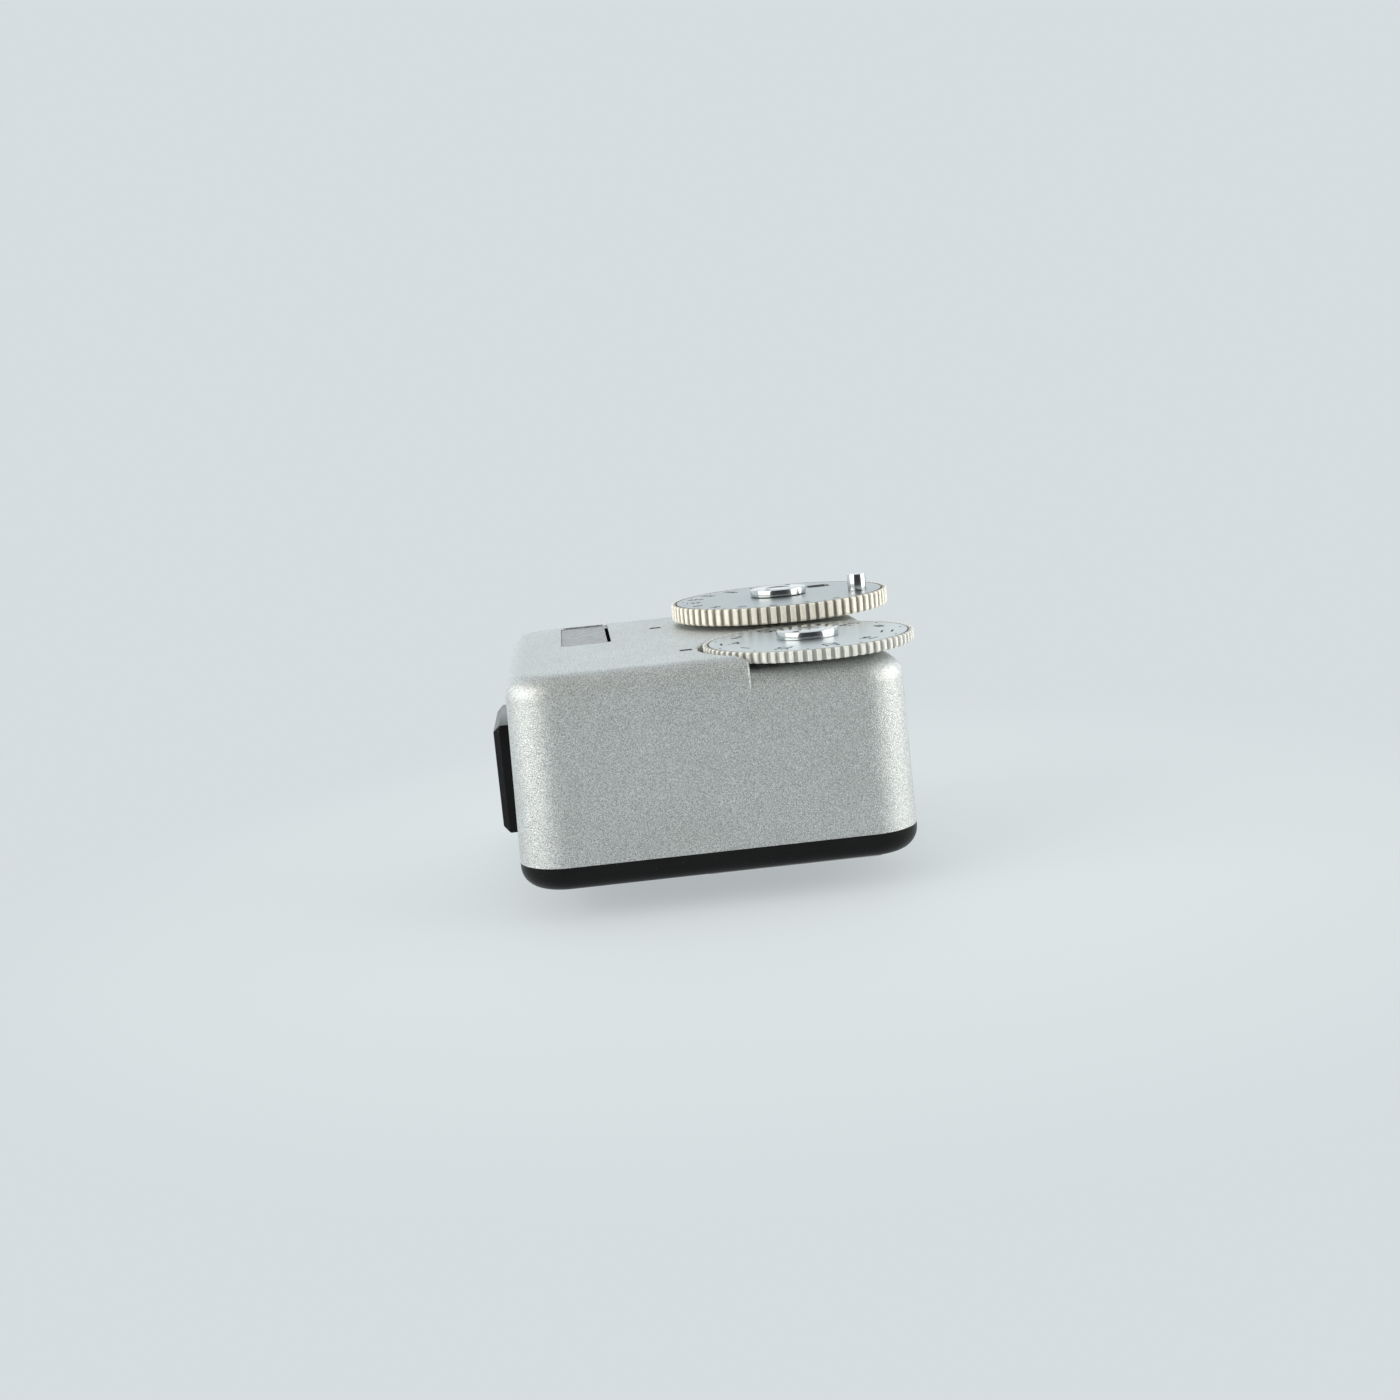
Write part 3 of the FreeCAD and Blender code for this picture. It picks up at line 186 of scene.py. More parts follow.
foot_nickel = drawn_metal("drawn_nickel", (0.56, 0.55, 0.52), (0.72, 0.71, 0.68), 0.18, 0.34)
coat(foot_nickel, "shoe_foot", "foot_neck")
steel_plate = drawn_metal("rolled_steel", (0.42, 0.42, 0.43), (0.56, 0.56, 0.56), 0.3, 0.45)
coat(steel_plate, "backing_plate")


# ------------------------------------------------------------------ screws
# Cross-recessed screws of plain bright steel: two countersunk ones through the foot, four long
# ones through the base, and two cheese-headed ones under the board. Cold-headed, then rolled.


class Works:
    """A geometry node tree being laid out."""

    def __init__(self, name, sizes):
        self.tree = bpy.data.node_groups.new(name, "GeometryNodeTree")
        face = self.tree.interface
        face.new_socket("Geometry", in_out="INPUT", socket_type="NodeSocketGeometry")
        for label, kind in sizes.items():
            face.new_socket(label, in_out="INPUT", socket_type="NodeSocket" + kind)
        face.new_socket("Geometry", in_out="OUTPUT", socket_type="NodeSocketGeometry")
        self.given = self.tree.nodes.new("NodeGroupInput").outputs
        self.result = self.tree.nodes.new("NodeGroupOutput").inputs[0]

    def add(self, kind, inputs=None, **settings):
        """One step of the works, and what comes out of it."""
        if not kind.startswith("ShaderNode"):
            kind = "GeometryNode" + kind
        return laid(self.tree, kind, inputs, **settings).outputs

    def reckon(self, operation, first, second=0.0):
        return self.add("ShaderNodeMath", {0: first, 1: second}, operation=operation)[0]

    def vector(self, x=0.0, y=0.0, z=0.0):
        return self.add("ShaderNodeCombineXYZ", {"X": x, "Y": y, "Z": z})[0]

    def moved(self, geometry, **places):
        return self.add("Transform", {"Geometry": geometry, **places})[0]

    def end(self, geometry):
        """Instances made real, and the finish set."""
        real = self.add("RealizeInstances", {"Geometry": geometry})[0]
        finished = self.add("SetMaterial", {
            "Geometry": real, "Material": self.given["Material"]})[0]
        self.tree.links.new(finished, self.result)


def plain_mesh(holder):
    """What an object comes to once its modifiers or its text are worked out."""
    bpy.context.view_layer.update()
    worked_out = holder.evaluated_get(bpy.context.evaluated_depsgraph_get())
    return bpy.data.meshes.new_from_object(worked_out)


def grown(name, points, works, values, faces=(), marks=None):
    """Run a node tree on a mesh, with marks on its points, and keep the result as a plain mesh."""
    seed = bpy.data.meshes.new(name + "_seed")
    seed.from_pydata(points, [], faces)
    for mark, amounts in (marks or {}).items():
        seed.attributes.new(mark, "FLOAT", "POINT").data.foreach_set("value", amounts)
    holder = bpy.data.objects.new(name, seed)
    scene.collection.objects.link(holder)
    modifier = holder.modifiers.new("works", "NODES")
    modifier.node_group = works.tree
    for item in works.tree.interface.items_tree:
        if item.in_out == "INPUT" and item.name in values:
            modifier[item.identifier] = values[item.name]
    shape = plain_mesh(holder)
    holder.modifiers.remove(modifier)
    holder.data = shape
    shape.name = name
    return holder


def smooth(piece, angle=30.0):
    """Round shading that keeps edges sharper than the angle, and end faces flat."""
    piece.data.set_sharp_from_angle(angle=math.radians(angle))
    faces = piece.data.polygons
    faces.foreach_set("use_smooth", [len(face.vertices) <= 4 for face in faces])
    return piece


def fit(piece, body, slot, *stands_for):
    """Hang a finished piece on its body and hide what it stands for. The slot is not used."""
    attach(piece, body)
    if stands_for:
        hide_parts(*stands_for)


def extent(name):
    """A CAD node's lowest and highest corner, in millimetres."""
    return [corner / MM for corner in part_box(name)]


def screw_works(name, countersunk):
    """Head with a cross recess, shank and rolled thread, set at every point of the mesh."""
    works = Works(name, {
        "Head Radius": "Float", "Head Height": "Float", "Shank Radius": "Float",
        "Length": "Float", "Pitch": "Float", "Recess Length": "Float", "Recess Width": "Float",
        "Recess Depth": "Float", "Material": "Material"})
    given = works.given
    head = works.add("MeshCone", {
        "Vertices": 40, "Radius Bottom": given["Head Radius"],
        "Radius Top": given["Shank Radius" if countersunk else "Head Radius"],
        "Depth": given["Head Height"]})["Mesh"]
    twice_deep = works.reckon("MULTIPLY", given["Recess Depth"], 2.0)
    blades = []
    for turn in (0.0, math.pi / 2):
        blade = works.add("MeshCube", {
            "Size": works.vector(given["Recess Length"], given["Recess Width"], twice_deep)})
        blades.append(works.moved(blade["Mesh"], Rotation=(0.0, 0.0, turn)))
    cut_head = works.add("MeshBoolean", {"Mesh 1": head, "Mesh 2": blades},
                         operation="DIFFERENCE", solver="EXACT")[0]
    ridge = works.reckon("MULTIPLY", given["Pitch"], 0.3)
    core = works.reckon("SUBTRACT", given["Shank Radius"], ridge)
    run = works.reckon("SUBTRACT", given["Length"], given["Head Height"])
    shank = works.add("MeshCylinder", {"Vertices": 24, "Radius": core, "Depth": run})["Mesh"]
    lifted = works.moved(shank, Translation=works.vector(
        z=works.reckon("ADD", given["Head Height"], works.reckon("MULTIPLY", run, 0.5))))
    threaded = works.reckon("SUBTRACT", run, given["Pitch"])
    helix = works.add("CurveSpiral", {
        "Resolution": 14, "Rotations": works.reckon("DIVIDE", threaded, given["Pitch"]),
        "Start Radius": core, "End Radius": core, "Height": threaded})[0]
    section = works.add("CurvePrimitiveCircle", {"Resolution": 4, "Radius": ridge},
                        mode="RADIUS")[0]
    thread = works.add("CurveToMesh", {
        "Curve": helix, "Profile Curve": section, "Fill Caps": True})[0]
    risen = works.moved(thread, Translation=works.vector(z=works.reckon(
        "ADD", given["Head Height"], works.reckon("MULTIPLY", given["Pitch"], 0.5))))
    whole = works.add("JoinGeometry", {"Geometry": [cut_head, lifted, risen]})[0]
    works.end(works.add("InstanceOnPoints", {
        "Points": given["Geometry"], "Instance": whole})[0])
    return works


screw_steel = drawn_metal(
    "bright_screw_steel", (0.42, 0.42, 0.42), (0.6, 0.6, 0.6), 0.22, 0.38, (1, 1, 6))
countersunk_screw = screw_works("countersunk_screw", True)
cheese_head_screw = screw_works("cheese_head_screw", False)
recess_length, recess_width, recess_depth = 1.15, 0.28, 0.38
for name, works, head, head_height, shank, pitch in (
    ("foot_screws", countersunk_screw, 1.8, 0.8, 1.0, 0.4),
    ("case_screws", countersunk_screw, 1.45, 0.6, 0.8, 0.35),
    ("board_screws", cheese_head_screw, 1.45, 0.8, 0.8, 0.35),
):
    low, high = extent(name)
    places = {(x, y) for x in (low.x + head, high.x - head) for y in (low.y + head, high.y - head)}
    in_one_row = high.y - low.y < head * 2.2
    if in_one_row:
        places = {(x, (low.y + high.y) / 2) for x, y in places}
    screws = grown(name + "_cut", [Vector((x, y, low.z)) * MM for x, y in sorted(places)], works, {
        "Head Radius": head * MM, "Head Height": head_height * MM, "Shank Radius": shank * MM,
        "Length": (high.z - low.z) * MM, "Pitch": pitch * MM,
        "Recess Length": head * recess_length * MM, "Recess Width": head * recess_width * MM,
        "Recess Depth": head * recess_depth * MM, "Material": screw_steel})
    fit(smooth(screws), "case", "screw_metal", name)


# ------------------------------------------------------------------ battery
# Two silver-oxide button cells in a moulded tube, between a gold-flashed spring on the board and
# the contact on the cap. The cap turns a quarter turn with a coin and seals on a rubber ring.

cap_black = moulded_black(
    "satin_black_cap", (0.006, 0.006, 0.0065), (0.011, 0.011, 0.0115), 0.3, 0.42)
coat(cap_black, "battery_cap")
inner_black = moulded_black(
    "inner_black_moulding", (0.016, 0.016, 0.017), (0.03, 0.03, 0.03), 0.45, 0.6)
coat(inner_black, "battery_tube", "switch_housing", "lamp_holder")
cell_steel = drawn_metal(
    "nickel_cell_can", (0.55, 0.55, 0.54), (0.7, 0.7, 0.69), 0.2, 0.32, (3, 3, 30))
coat(cell_steel, "button_cells")

sprung_bronze = Finish("gold_flashed_bronze", metallic=1.0)
rolled = sprung_bronze.grain(0.06 * MM, (1, 25, 1), detail=2)
dulled = sprung_bronze.grain(2.5 * MM, detail=2, seed=3.0)
sprung_bronze.show(
    sprung_bronze.tint(dulled, (0.35, (0.62, 0.44, 0.17)), (0.65, (0.82, 0.62, 0.28))),
    sprung_bronze.spread(rolled, 0.2, 0.36))
sprung_bronze.raise_by(rolled, 0.002 * MM)
coat(sprung_bronze.material, "contact_spring", "cap_contact", "shutter_detent", "shutter_wiper",
     "aperture_detent", "aperture_wiper")

rubber = Finish("moulded_nitrile", IOR=1.52)
bloom = rubber.grain(0.8 * MM, detail=3)
rubber.show(rubber.tint(bloom, (0.35, (0.012, 0.012, 0.012)), (0.75, (0.03, 0.03, 0.029))),
            rubber.spread(bloom, 0.6, 0.85))
rubber.raise_by(rubber.grain(0.08 * MM), 0.004 * MM)
coat(rubber.material, "cap_seal")


# ------------------------------------------------------------------ circuit boards
# The main board on its posts, and the small boards behind the sensor and the switch. Green
# masked laminate with copper tracks that show through; the chip and photocell are moulded epoxy.

laminate = Finish("masked_laminate", IOR=1.5)
weave = laminate.grain(0.3 * MM, (1, 1, 4), detail=1)
tracks = laminate.add("ShaderNodeTexBrick", {
    "Vector": laminate.place, "Scale": 1.0, "Mortar Size": 0.12 * MM, "Mortar Smooth": 0.2,
    "Brick Width": 1.7 * MM, "Row Height": 0.64 * MM}).outputs["Fac"]
green = laminate.tint(weave, (0.35, (0.012, 0.085, 0.035)), (0.7, (0.02, 0.12, 0.05)))
masked_track = (0.06, 0.2, 0.09, 1)
laminate.show(laminate.blend(tracks, green, masked_track), laminate.spread(weave, 0.28, 0.42))
laminate.raise_by(tracks, 0.02 * MM)
coat(laminate.material, "circuit_board", "sensor_board", "switch_board")
epoxy = moulded_black("moulded_epoxy", (0.012, 0.012, 0.012), (0.022, 0.022, 0.022), 0.5, 0.65)
coat(epoxy, "controller_chip", "photocell")


# ------------------------------------------------------------------ measuring button
# The key in the rear wall that starts a reading. Black acetal with wide flats round its face,
# a flange that keeps it in the wall, and a stem that pushes the switch's plunger.


def rounded_outline(half_width, half_height, corner, steps=4):
    """Points round a rectangle with rounded corners, about its own middle."""
    points = []
    for quarter in range(4):
        across = (1, -1, -1, 1)[quarter] * (half_width - corner)
        upward = (1, 1, -1, -1)[quarter] * (half_height - corner)
        for step in range(steps + 1):
            angle = math.pi / 2 * (quarter + step / steps)
            points.append((across + corner * math.cos(angle), upward + corner * math.sin(angle)))
    return points


def piece_of(shape, name, material):
    """Turn finished faces into a piece of the scene."""
    mesh = bpy.data.meshes.new(name)
    shape.to_mesh(mesh)
    shape.free()
    mesh.materials.clear()
    mesh.materials.append(material)
    piece = bpy.data.objects.new(name, mesh)
    scene.collection.objects.link(piece)
    return piece


def lofted(name, rings, material):
    """A closed skin over rings of points, each with as many points as the last."""
    shape = bmesh.new()
    rows = [[shape.verts.new(point) for point in ring] for ring in rings]
    for low, high in zip(rows, rows[1:]):
        for i in range(len(low)):
            j = (i + 1) % len(low)
            shape.faces.new((low[i], low[j], high[j], high[i]))
    shape.faces.new(list(reversed(rows[0])))
    shape.faces.new(rows[-1])
    bmesh.ops.recalc_face_normals(shape, faces=shape.faces)
    return piece_of(shape, name, material)


button_low, button_high = extent("measuring_button")
button_y, button_z = (button_low.y + button_high.y) / 2, (button_low.z + button_high.z) / 2


def key_ring(x, half_y, half_z, corner):
    """One ring of the key or its plunger, across the way it moves."""
    return [Vector((x, button_y + y, button_z + z)) * MM
            for y, z in rounded_outline(half_y, half_z, corner)]


flange_width, flange_thickness, flange_corner = 0.5, 1.0, 0.5
stem_radius, stem_length = 1.5, 1.17
flat_width, key_corner, key_edge = 0.68, 0.22, 0.07
half_y = button_high.y - button_y - flange_width
half_z = button_high.z - button_z - flange_width
face_y, face_z = half_y - flat_width, half_z - flat_width
button_face, stem_end = button_low.x, button_high.x
flange_end = stem_end - stem_length
flange_start = flange_end - flange_thickness
flange = (half_y + flange_width, half_z + flange_width, flange_corner)
key_rings = [
    key_ring(button_face, face_y - key_edge, face_z - key_edge, 0.06),
    key_ring(button_face + key_edge * 0.4, face_y + key_edge * 0.5, face_z + key_edge * 0.5, 0.1),
    key_ring(button_face + flat_width - key_edge, half_y - key_edge * 0.7, half_z - key_edge * 0.7,
             key_corner),
    key_ring(button_face + flat_width + key_edge, half_y, half_z, key_corner),
    key_ring(flange_start, half_y, half_z, key_corner),
    key_ring(flange_start, *flange),
    key_ring(flange_end, *flange),
    key_ring(flange_end, stem_radius, stem_radius, stem_radius),
    key_ring(stem_end, stem_radius, stem_radius, stem_radius)]
button_black = moulded_black(
    "polished_black_acetal", (0.004, 0.004, 0.0045), (0.007, 0.007, 0.0075), 0.18, 0.28)
measuring_key = smooth(lofted("measuring_key", key_rings, button_black), 22.0)
fit(measuring_key, "button", "button_black", "measuring_button")

plunger_low, plunger_high = extent("switch_plunger")
plunger_radius = (plunger_high.y - plunger_low.y) / 2
end_round, bottom_gap = 0.2, 0.03
plunger_end = plunger_high.x - bottom_gap
plunger_rings = [key_ring(x, radius, radius, radius) for x, radius in (
    (plunger_low.x, plunger_radius), (plunger_end - end_round, plunger_radius),
    (plunger_end - end_round * 0.3, plunger_radius - end_round * 0.3),
    (plunger_end, plunger_radius - end_round))]
domed_plunger = smooth(lofted("domed_plunger", plunger_rings, inner_black))
fit(domed_plunger, "button", "inner_black", "switch_plunger")


# ------------------------------------------------------------------ light sensor
# The cell's window in the front wall: a black anodised bezel pressed into the wall round a
# frosted milky diffuser.

diffuser = Finish("frosted_diffuser", IOR=1.49, Subsurface_Weight=0.25,
                  Subsurface_Radius=(0.6, 0.6, 0.5), Subsurface_Scale=0.6 * MM)
frost = diffuser.grain(0.09 * MM, detail=2)
milk = diffuser.grain(1.6 * MM, detail=2, seed=5.0)
diffuser.show(diffuser.tint(milk, (0.35, (0.76, 0.76, 0.74)), (0.65, (0.83, 0.83, 0.81))),
              diffuser.spread(frost, 0.4, 0.58))
diffuser.raise_by(frost, 0.006 * MM)
coat(diffuser.material, "sensor_diffuser")
bezel_black = drawn_metal(
    "black_anodised_bezel", (0.03, 0.03, 0.032), (0.05, 0.05, 0.053), 0.25, 0.4, (1, 3, 3))
coat(bezel_black, "sensor_bezel")


# ------------------------------------------------------------------ housing
# The top shell that carries both dials. Die-cast aluminium, bead-blasted to a fine sparkling
# grain and clear anodised, with drafted walls and a sunk terrace for the lower dial.

housing_metal = Finish("blasted_anodised_aluminium", metallic=1.0)
blast = housing_metal.grain(0.095 * MM, detail=1)
fine_blast = housing_metal.grain(0.05 * MM, detail=1, seed=3.0)
cast_cloud = housing_metal.grain(7 * MM, detail=2, seed=6.0)
sparkle = housing_metal.tint(
    blast, (0.32, (0.32, 0.337, 0.34)), (0.5, (0.575, 0.597, 0.602)), (0.68, (0.82, 0.848, 0.855)))
clouds = housing_metal.tint(cast_cloud, (0.3, (0.95, 0.95, 0.94)), (0.7, (1, 1, 1)))
housing_metal.show(housing_metal.blend(1.0, sparkle, clouds, "MULTIPLY"),
                   housing_metal.spread(fine_blast, 0.48, 0.6))
housing_metal.raise_by(blast, 0.045 * MM)
housing_metal.raise_by(fine_blast, 0.006 * MM)
coat(housing_metal.material, "top_housing")


# ------------------------------------------------------------------ index marks
# The short black mark beside each dial that its numbers are read against. Engraved and filled
# with black enamel, which stands just proud of the surface.


def enamel(name, dark, light):
    """Printing enamel: slightly uneven in tone, and matt."""
    finish = Finish(name, IOR=1.5, Specular_IOR_Level=0.1)
    uneven = finish.grain(0.2 * MM, detail=3)
    finish.show(finish.tint(uneven, (0.35, dark), (0.7, light)), finish.spread(uneven, 0.6, 0.75))
    finish.raise_by(uneven, 0.003 * MM)
    return finish.material


def slab(name, middle, outline, low, high, material):
    """A flat plate with the given outline about its middle, from one level to another."""
    rings = [[Vector((middle[0] + x, middle[1] + y, z)) * MM for x, y in outline]
             for z in (low, high)]
    return lofted(name, rings, material)


dial_x, shutter_y, aperture_y = 2.9, 10.2, -11.85
mark_half_width, mark_corner, mark_sunk, mark_proud = 0.48, 0.12, 0.05, 0.012
black_enamel = enamel("black_enamel", (0.006, 0.006, 0.007), (0.015, 0.015, 0.016))
deck = extent("top_housing")[1].z
for name, start, end, y in (("shutter_index_mark", -12.25, -11.0, shutter_y),
                            ("aperture_index_mark", -10.35, -9.1, aperture_y)):
    outline = rounded_outline((end - start) / 2, mark_half_width, mark_corner, 3)
    mark = slab(name, ((start + end) / 2, y), outline, deck - mark_sunk, deck + mark_proud,
                black_enamel)
    fit(mark, "case", "base_black")


# ------------------------------------------------------------------ display
# Three resin lamps in a moulded block, the middle one for a right setting, under a smoked window.
# The window is bonded into the housing's top. A black strip along its end is painted shade, where
# the gap beside the window lies in shadow.

smoked = Finish("smoked_acrylic", IOR=1.3, Specular_IOR_Level=0.4, Transmission_Weight=0.9)
haze = smoked.grain(1.2 * MM, detail=3)
smoked.show(smoked.tint(haze, (0.35, (0.26, 0.26, 0.27)), (0.65, (0.29, 0.29, 0.30))),
            smoked.spread(haze, 0.2, 0.26))
smoked.raise_by(smoked.grain(0.5 * MM, seed=2.0), 0.001 * MM)
coat(smoked.material, "display_window")

# Painted shade: a thin flat black strip along the window's end stands for the shadowed gap there.
strip_black = Finish("black_shade_strip", IOR=1.3, Specular_IOR_Level=0.0, Roughness=1.0)
strip_grain = strip_black.grain(0.06 * MM, detail=2)
strip_black.show(strip_black.tint(strip_grain, (0.35, (0.002, 0.002, 0.002)), (0.7, (0.006, 0.006, 0.006))))
strip_black.raise_by(strip_grain, 0.02 * MM)
window_high = extent("display_window")[1]
strip_middle, strip_length, strip_width, strip_corner, strip_height = 9.2, 12.8, 0.34, 0.08, 0.03
shade_strip = slab("window_shade_strip", (window_high.x - strip_width / 2, strip_middle),
            rounded_outline(strip_width / 2, strip_length / 2, strip_corner, 2),
            window_high.z, window_high.z + strip_height, strip_black.material)
fit(shade_strip, "case", "inner_black")


def lathed(name, profile, centre, material, steps=72):
    """A closed turned shape from (radius, height) points that start and end on the axis."""
    shape = bmesh.new()
    rows = []
    for radius, height in profile:
        if radius == 0:
            rows.append([shape.verts.new((0, 0, height * MM))])
        else:
            turns = [2 * math.pi * i / steps for i in range(steps)]
            rows.append([shape.verts.new((radius * MM * math.cos(turn),
                                          radius * MM * math.sin(turn), height * MM))
                         for turn in turns])
    for low, high in zip(rows, rows[1:]):
        for i in range(steps):
            j = (i + 1) % steps
            corners = [low[i % len(low)], low[j % len(low)],
                       high[j % len(high)], high[i % len(high)]]
            shape.faces.new([corner for k, corner in enumerate(corners)
                             if corner not in corners[:k]])
    bmesh.ops.recalc_face_normals(shape, faces=shape.faces)
    shape.transform(Matrix.Translation(Vector(centre) * MM))
    return smooth(piece_of(shape, name, material))


def resin(name, dark, light):
    """Cast lamp resin, cloudy and tinted."""
    finish = Finish(name, IOR=1.53, Subsurface_Weight=0.3, Subsurface_Scale=0.5 * MM,
                    Coat_Weight=0.5, Coat_Roughness=0.05)
    cloudy = finish.grain(0.7 * MM, detail=3)
    finish.show(finish.tint(cloudy, (0.35, dark), (0.65, light)),
                finish.spread(cloudy, 0.12, 0.22))
    finish.raise_by(cloudy, 0.002 * MM)
    return finish.material


lamp_low, lamp_high = extent("status_lamps")
lamp_x, lamp_radius, dome_height, dome_steps = -19.7, 1.5, 0.9, 8
dome = [(lamp_radius * math.cos(angle), lamp_high.z - dome_height + dome_height * math.sin(angle))
        for angle in (math.pi / 2 * step / dome_steps for step in range(dome_steps))]
lamp_profile = [(0, lamp_low.z), (lamp_radius, lamp_low.z), *dome, (0, lamp_high.z)]
for place, y, dark, light in (
    ("left", 15.4, (0.62, 0.58, 0.55), (0.74, 0.70, 0.66)),
    ("middle", 10.2, (0.75, 0.45, 0.42), (0.85, 0.56, 0.52)),
    ("right", 5.0, (0.62, 0.58, 0.55), (0.74, 0.70, 0.66)),
):
    tinted = resin(place + "_lamp_resin", dark, light)
    lamp = lathed(place + "_lamp", lamp_profile, (lamp_x, y, 0), tinted, 48)
    fit(lamp, "case", "lamp_resin", "status_lamps")


# ------------------------------------------------------------------ spindles and bushes
# What the dials turn on, under the top wall: ground spindles in flanged brass bushes, and
# notched brass wheels for the detents. All are turned on a lathe.


def turned_metal(name, centre, dark, light, low, high, pitch=0.06, across=1.0, metallic=1.0,
                 painted_shade_strength=0.0):
    """Metal with the fine rings that a lathe leaves about an upright axis, and painted shade on
    its marked points.
    """
    finish = Finish(name, metallic=metallic)
    middle = finish.add("ShaderNodeVectorMath", {
        0: finish.place, 1: Vector((*centre, 0)) * MM}, operation="SUBTRACT").outputs[0]
    flat = finish.add("ShaderNodeVectorMath", {0: middle, 1: (1, 1, 0)}, operation="MULTIPLY")
    reach = finish.add("ShaderNodeVectorMath", {0: flat.outputs[0]}, operation="LENGTH")
    rings = finish.add("ShaderNodeTexNoise", {
        "W": reach.outputs["Value"], "Scale": 1 / (pitch * MM), "Detail": 2},
        noise_dimensions="1D").outputs["Fac"]
    cloud = finish.grain(across * MM, detail=3, seed=1.0)
    mixed = finish.reckon("ADD", rings, cloud)
    colour = finish.tint(finish.spread(mixed, 0, 1, 0.7, 1.3), (0.2, dark), (0.8, light))
    # Painted shade: marked points are mixed toward a dark brown, as if they lay in shadow.
    if painted_shade_strength:
        soil = finish.add("ShaderNodeAttribute", attribute_name="soil").outputs["Fac"]
        shade_colour = (0.07, 0.065, 0.055, 1)
        colour = finish.blend(finish.reckon("MULTIPLY", soil, painted_shade_strength), colour, shade_colour)
    finish.show(colour, finish.spread(rings, low, high))
    finish.raise_by(rings, 0.0015 * MM)
    return finish.material


for prefix, y in (("shutter", shutter_y), ("aperture", aperture_y)):
    ground_steel = turned_metal(
        prefix + "_spindle_steel", (dial_x, y), (0.45, 0.45, 0.46), (0.6, 0.6, 0.6), 0.15, 0.28)
    coat(ground_steel, prefix + "_spindle")
    brass = turned_metal(
        prefix + "_turned_brass", (dial_x, y), (0.52, 0.36, 0.13), (0.68, 0.5, 0.22), 0.2, 0.35)
    coat(brass, prefix + "_bush", prefix + "_index_wheel")


# ------------------------------------------------------------------ dial rims
# The toothed cups that the fingers turn. Nickel silver, turned with a seat for the face plate,
# broken at both edges, and cut with straight square teeth by a slitting saw.


def rim_works():
    """One tooth's wedge of rim, set round the axis as often as there are teeth."""
    works = Works("toothed_rim", {"Teeth": "Int", "Centre": "Vector", "Material": "Material"})
    given = works.given
    axis = works.add("MeshLine", {"Count": given["Teeth"], "Offset": (0.0, 0.0, 0.0)})[0]
    share = works.reckon("DIVIDE", works.add("InputIndex")[0], given["Teeth"])
    turn = works.vector(z=works.reckon("MULTIPLY", share, 2 * math.pi))
    spun = works.add("InstanceOnPoints", {
        "Points": axis, "Instance": given["Geometry"], "Rotation": turn})[0]
    real = works.add("RealizeInstances", {"Geometry": spun})[0]
    closed = works.add("MergeByDistance", {"Geometry": real, "Distance": 0.002 * MM})[0]
    works.end(works.moved(closed, Translation=given["Centre"]))
    return works


tooth_depth, tooth_slot = 0.36, 0.5
tooth_land_edge, tooth_top_edge, tooth_low_edge = 0.05, 0.1, 0.18
slot_taper = 0.82
# Painted shade in the slots between the teeth, darker still in the seam round the face plate.
slot_shade, seam_shade = 1.0, 1.5


def tooth_wedge(radius, teeth, low, high, inner):
    """Points, faces and painted-shade marks of the rim between the middles of two slots.

    The inner profile runs down from the seam round the face plate to the rim's underside.
    """
    pitch = math.pi / teeth
    root_radius = radius - tooth_depth
    slot_half = tooth_slot / 2
    tip = math.asin((radius * math.sin(pitch) - slot_half) / radius)
    root = math.asin((root_radius * math.sin(pitch) - slot_half * slot_taper) / root_radius)
    land = tip - tooth_land_edge / radius
    columns = [(-pitch, True, 0), (-root, True, 0), (-tip, False, tooth_land_edge),
               (-land, False, 0), (land, False, 0), (tip, False, tooth_land_edge),
               (root, True, 0), (pitch, True, 0)]
    points, soil = [], []
    for angle, in_slot, cut in columns:
        reach = root_radius if in_slot else radius - cut
        low_reach = reach if in_slot else reach - tooth_low_edge
        top_reach = reach if in_slot else reach - tooth_top_edge
        skin = [(low_reach, low), (reach, low + tooth_low_edge), (reach, high - tooth_top_edge),
                (top_reach, high)]
        for r, z in skin + inner:
            points.append((r * math.cos(angle) * MM, r * math.sin(angle) * MM, z * MM))
        soil += [slot_shade if in_slot else 0.0] * len(skin)
        soil += [seam_shade] * 2 + [0.0] * (len(inner) - 2)
    rows = len(skin) + len(inner)
    faces = []
    for i in range(len(columns) - 1):
        this, following = i * rows, (i + 1) * rows
        for j in range(rows):
            k = (j + 1) % rows
            faces.append((this + j, following + j, following + k, this + k))
    return points, faces, soil


toothed_rim = rim_works()
collar, rim_wall, seam, seat_gap, inner_step = 2.4, 0.5, 0.05, 0.06, 1.5
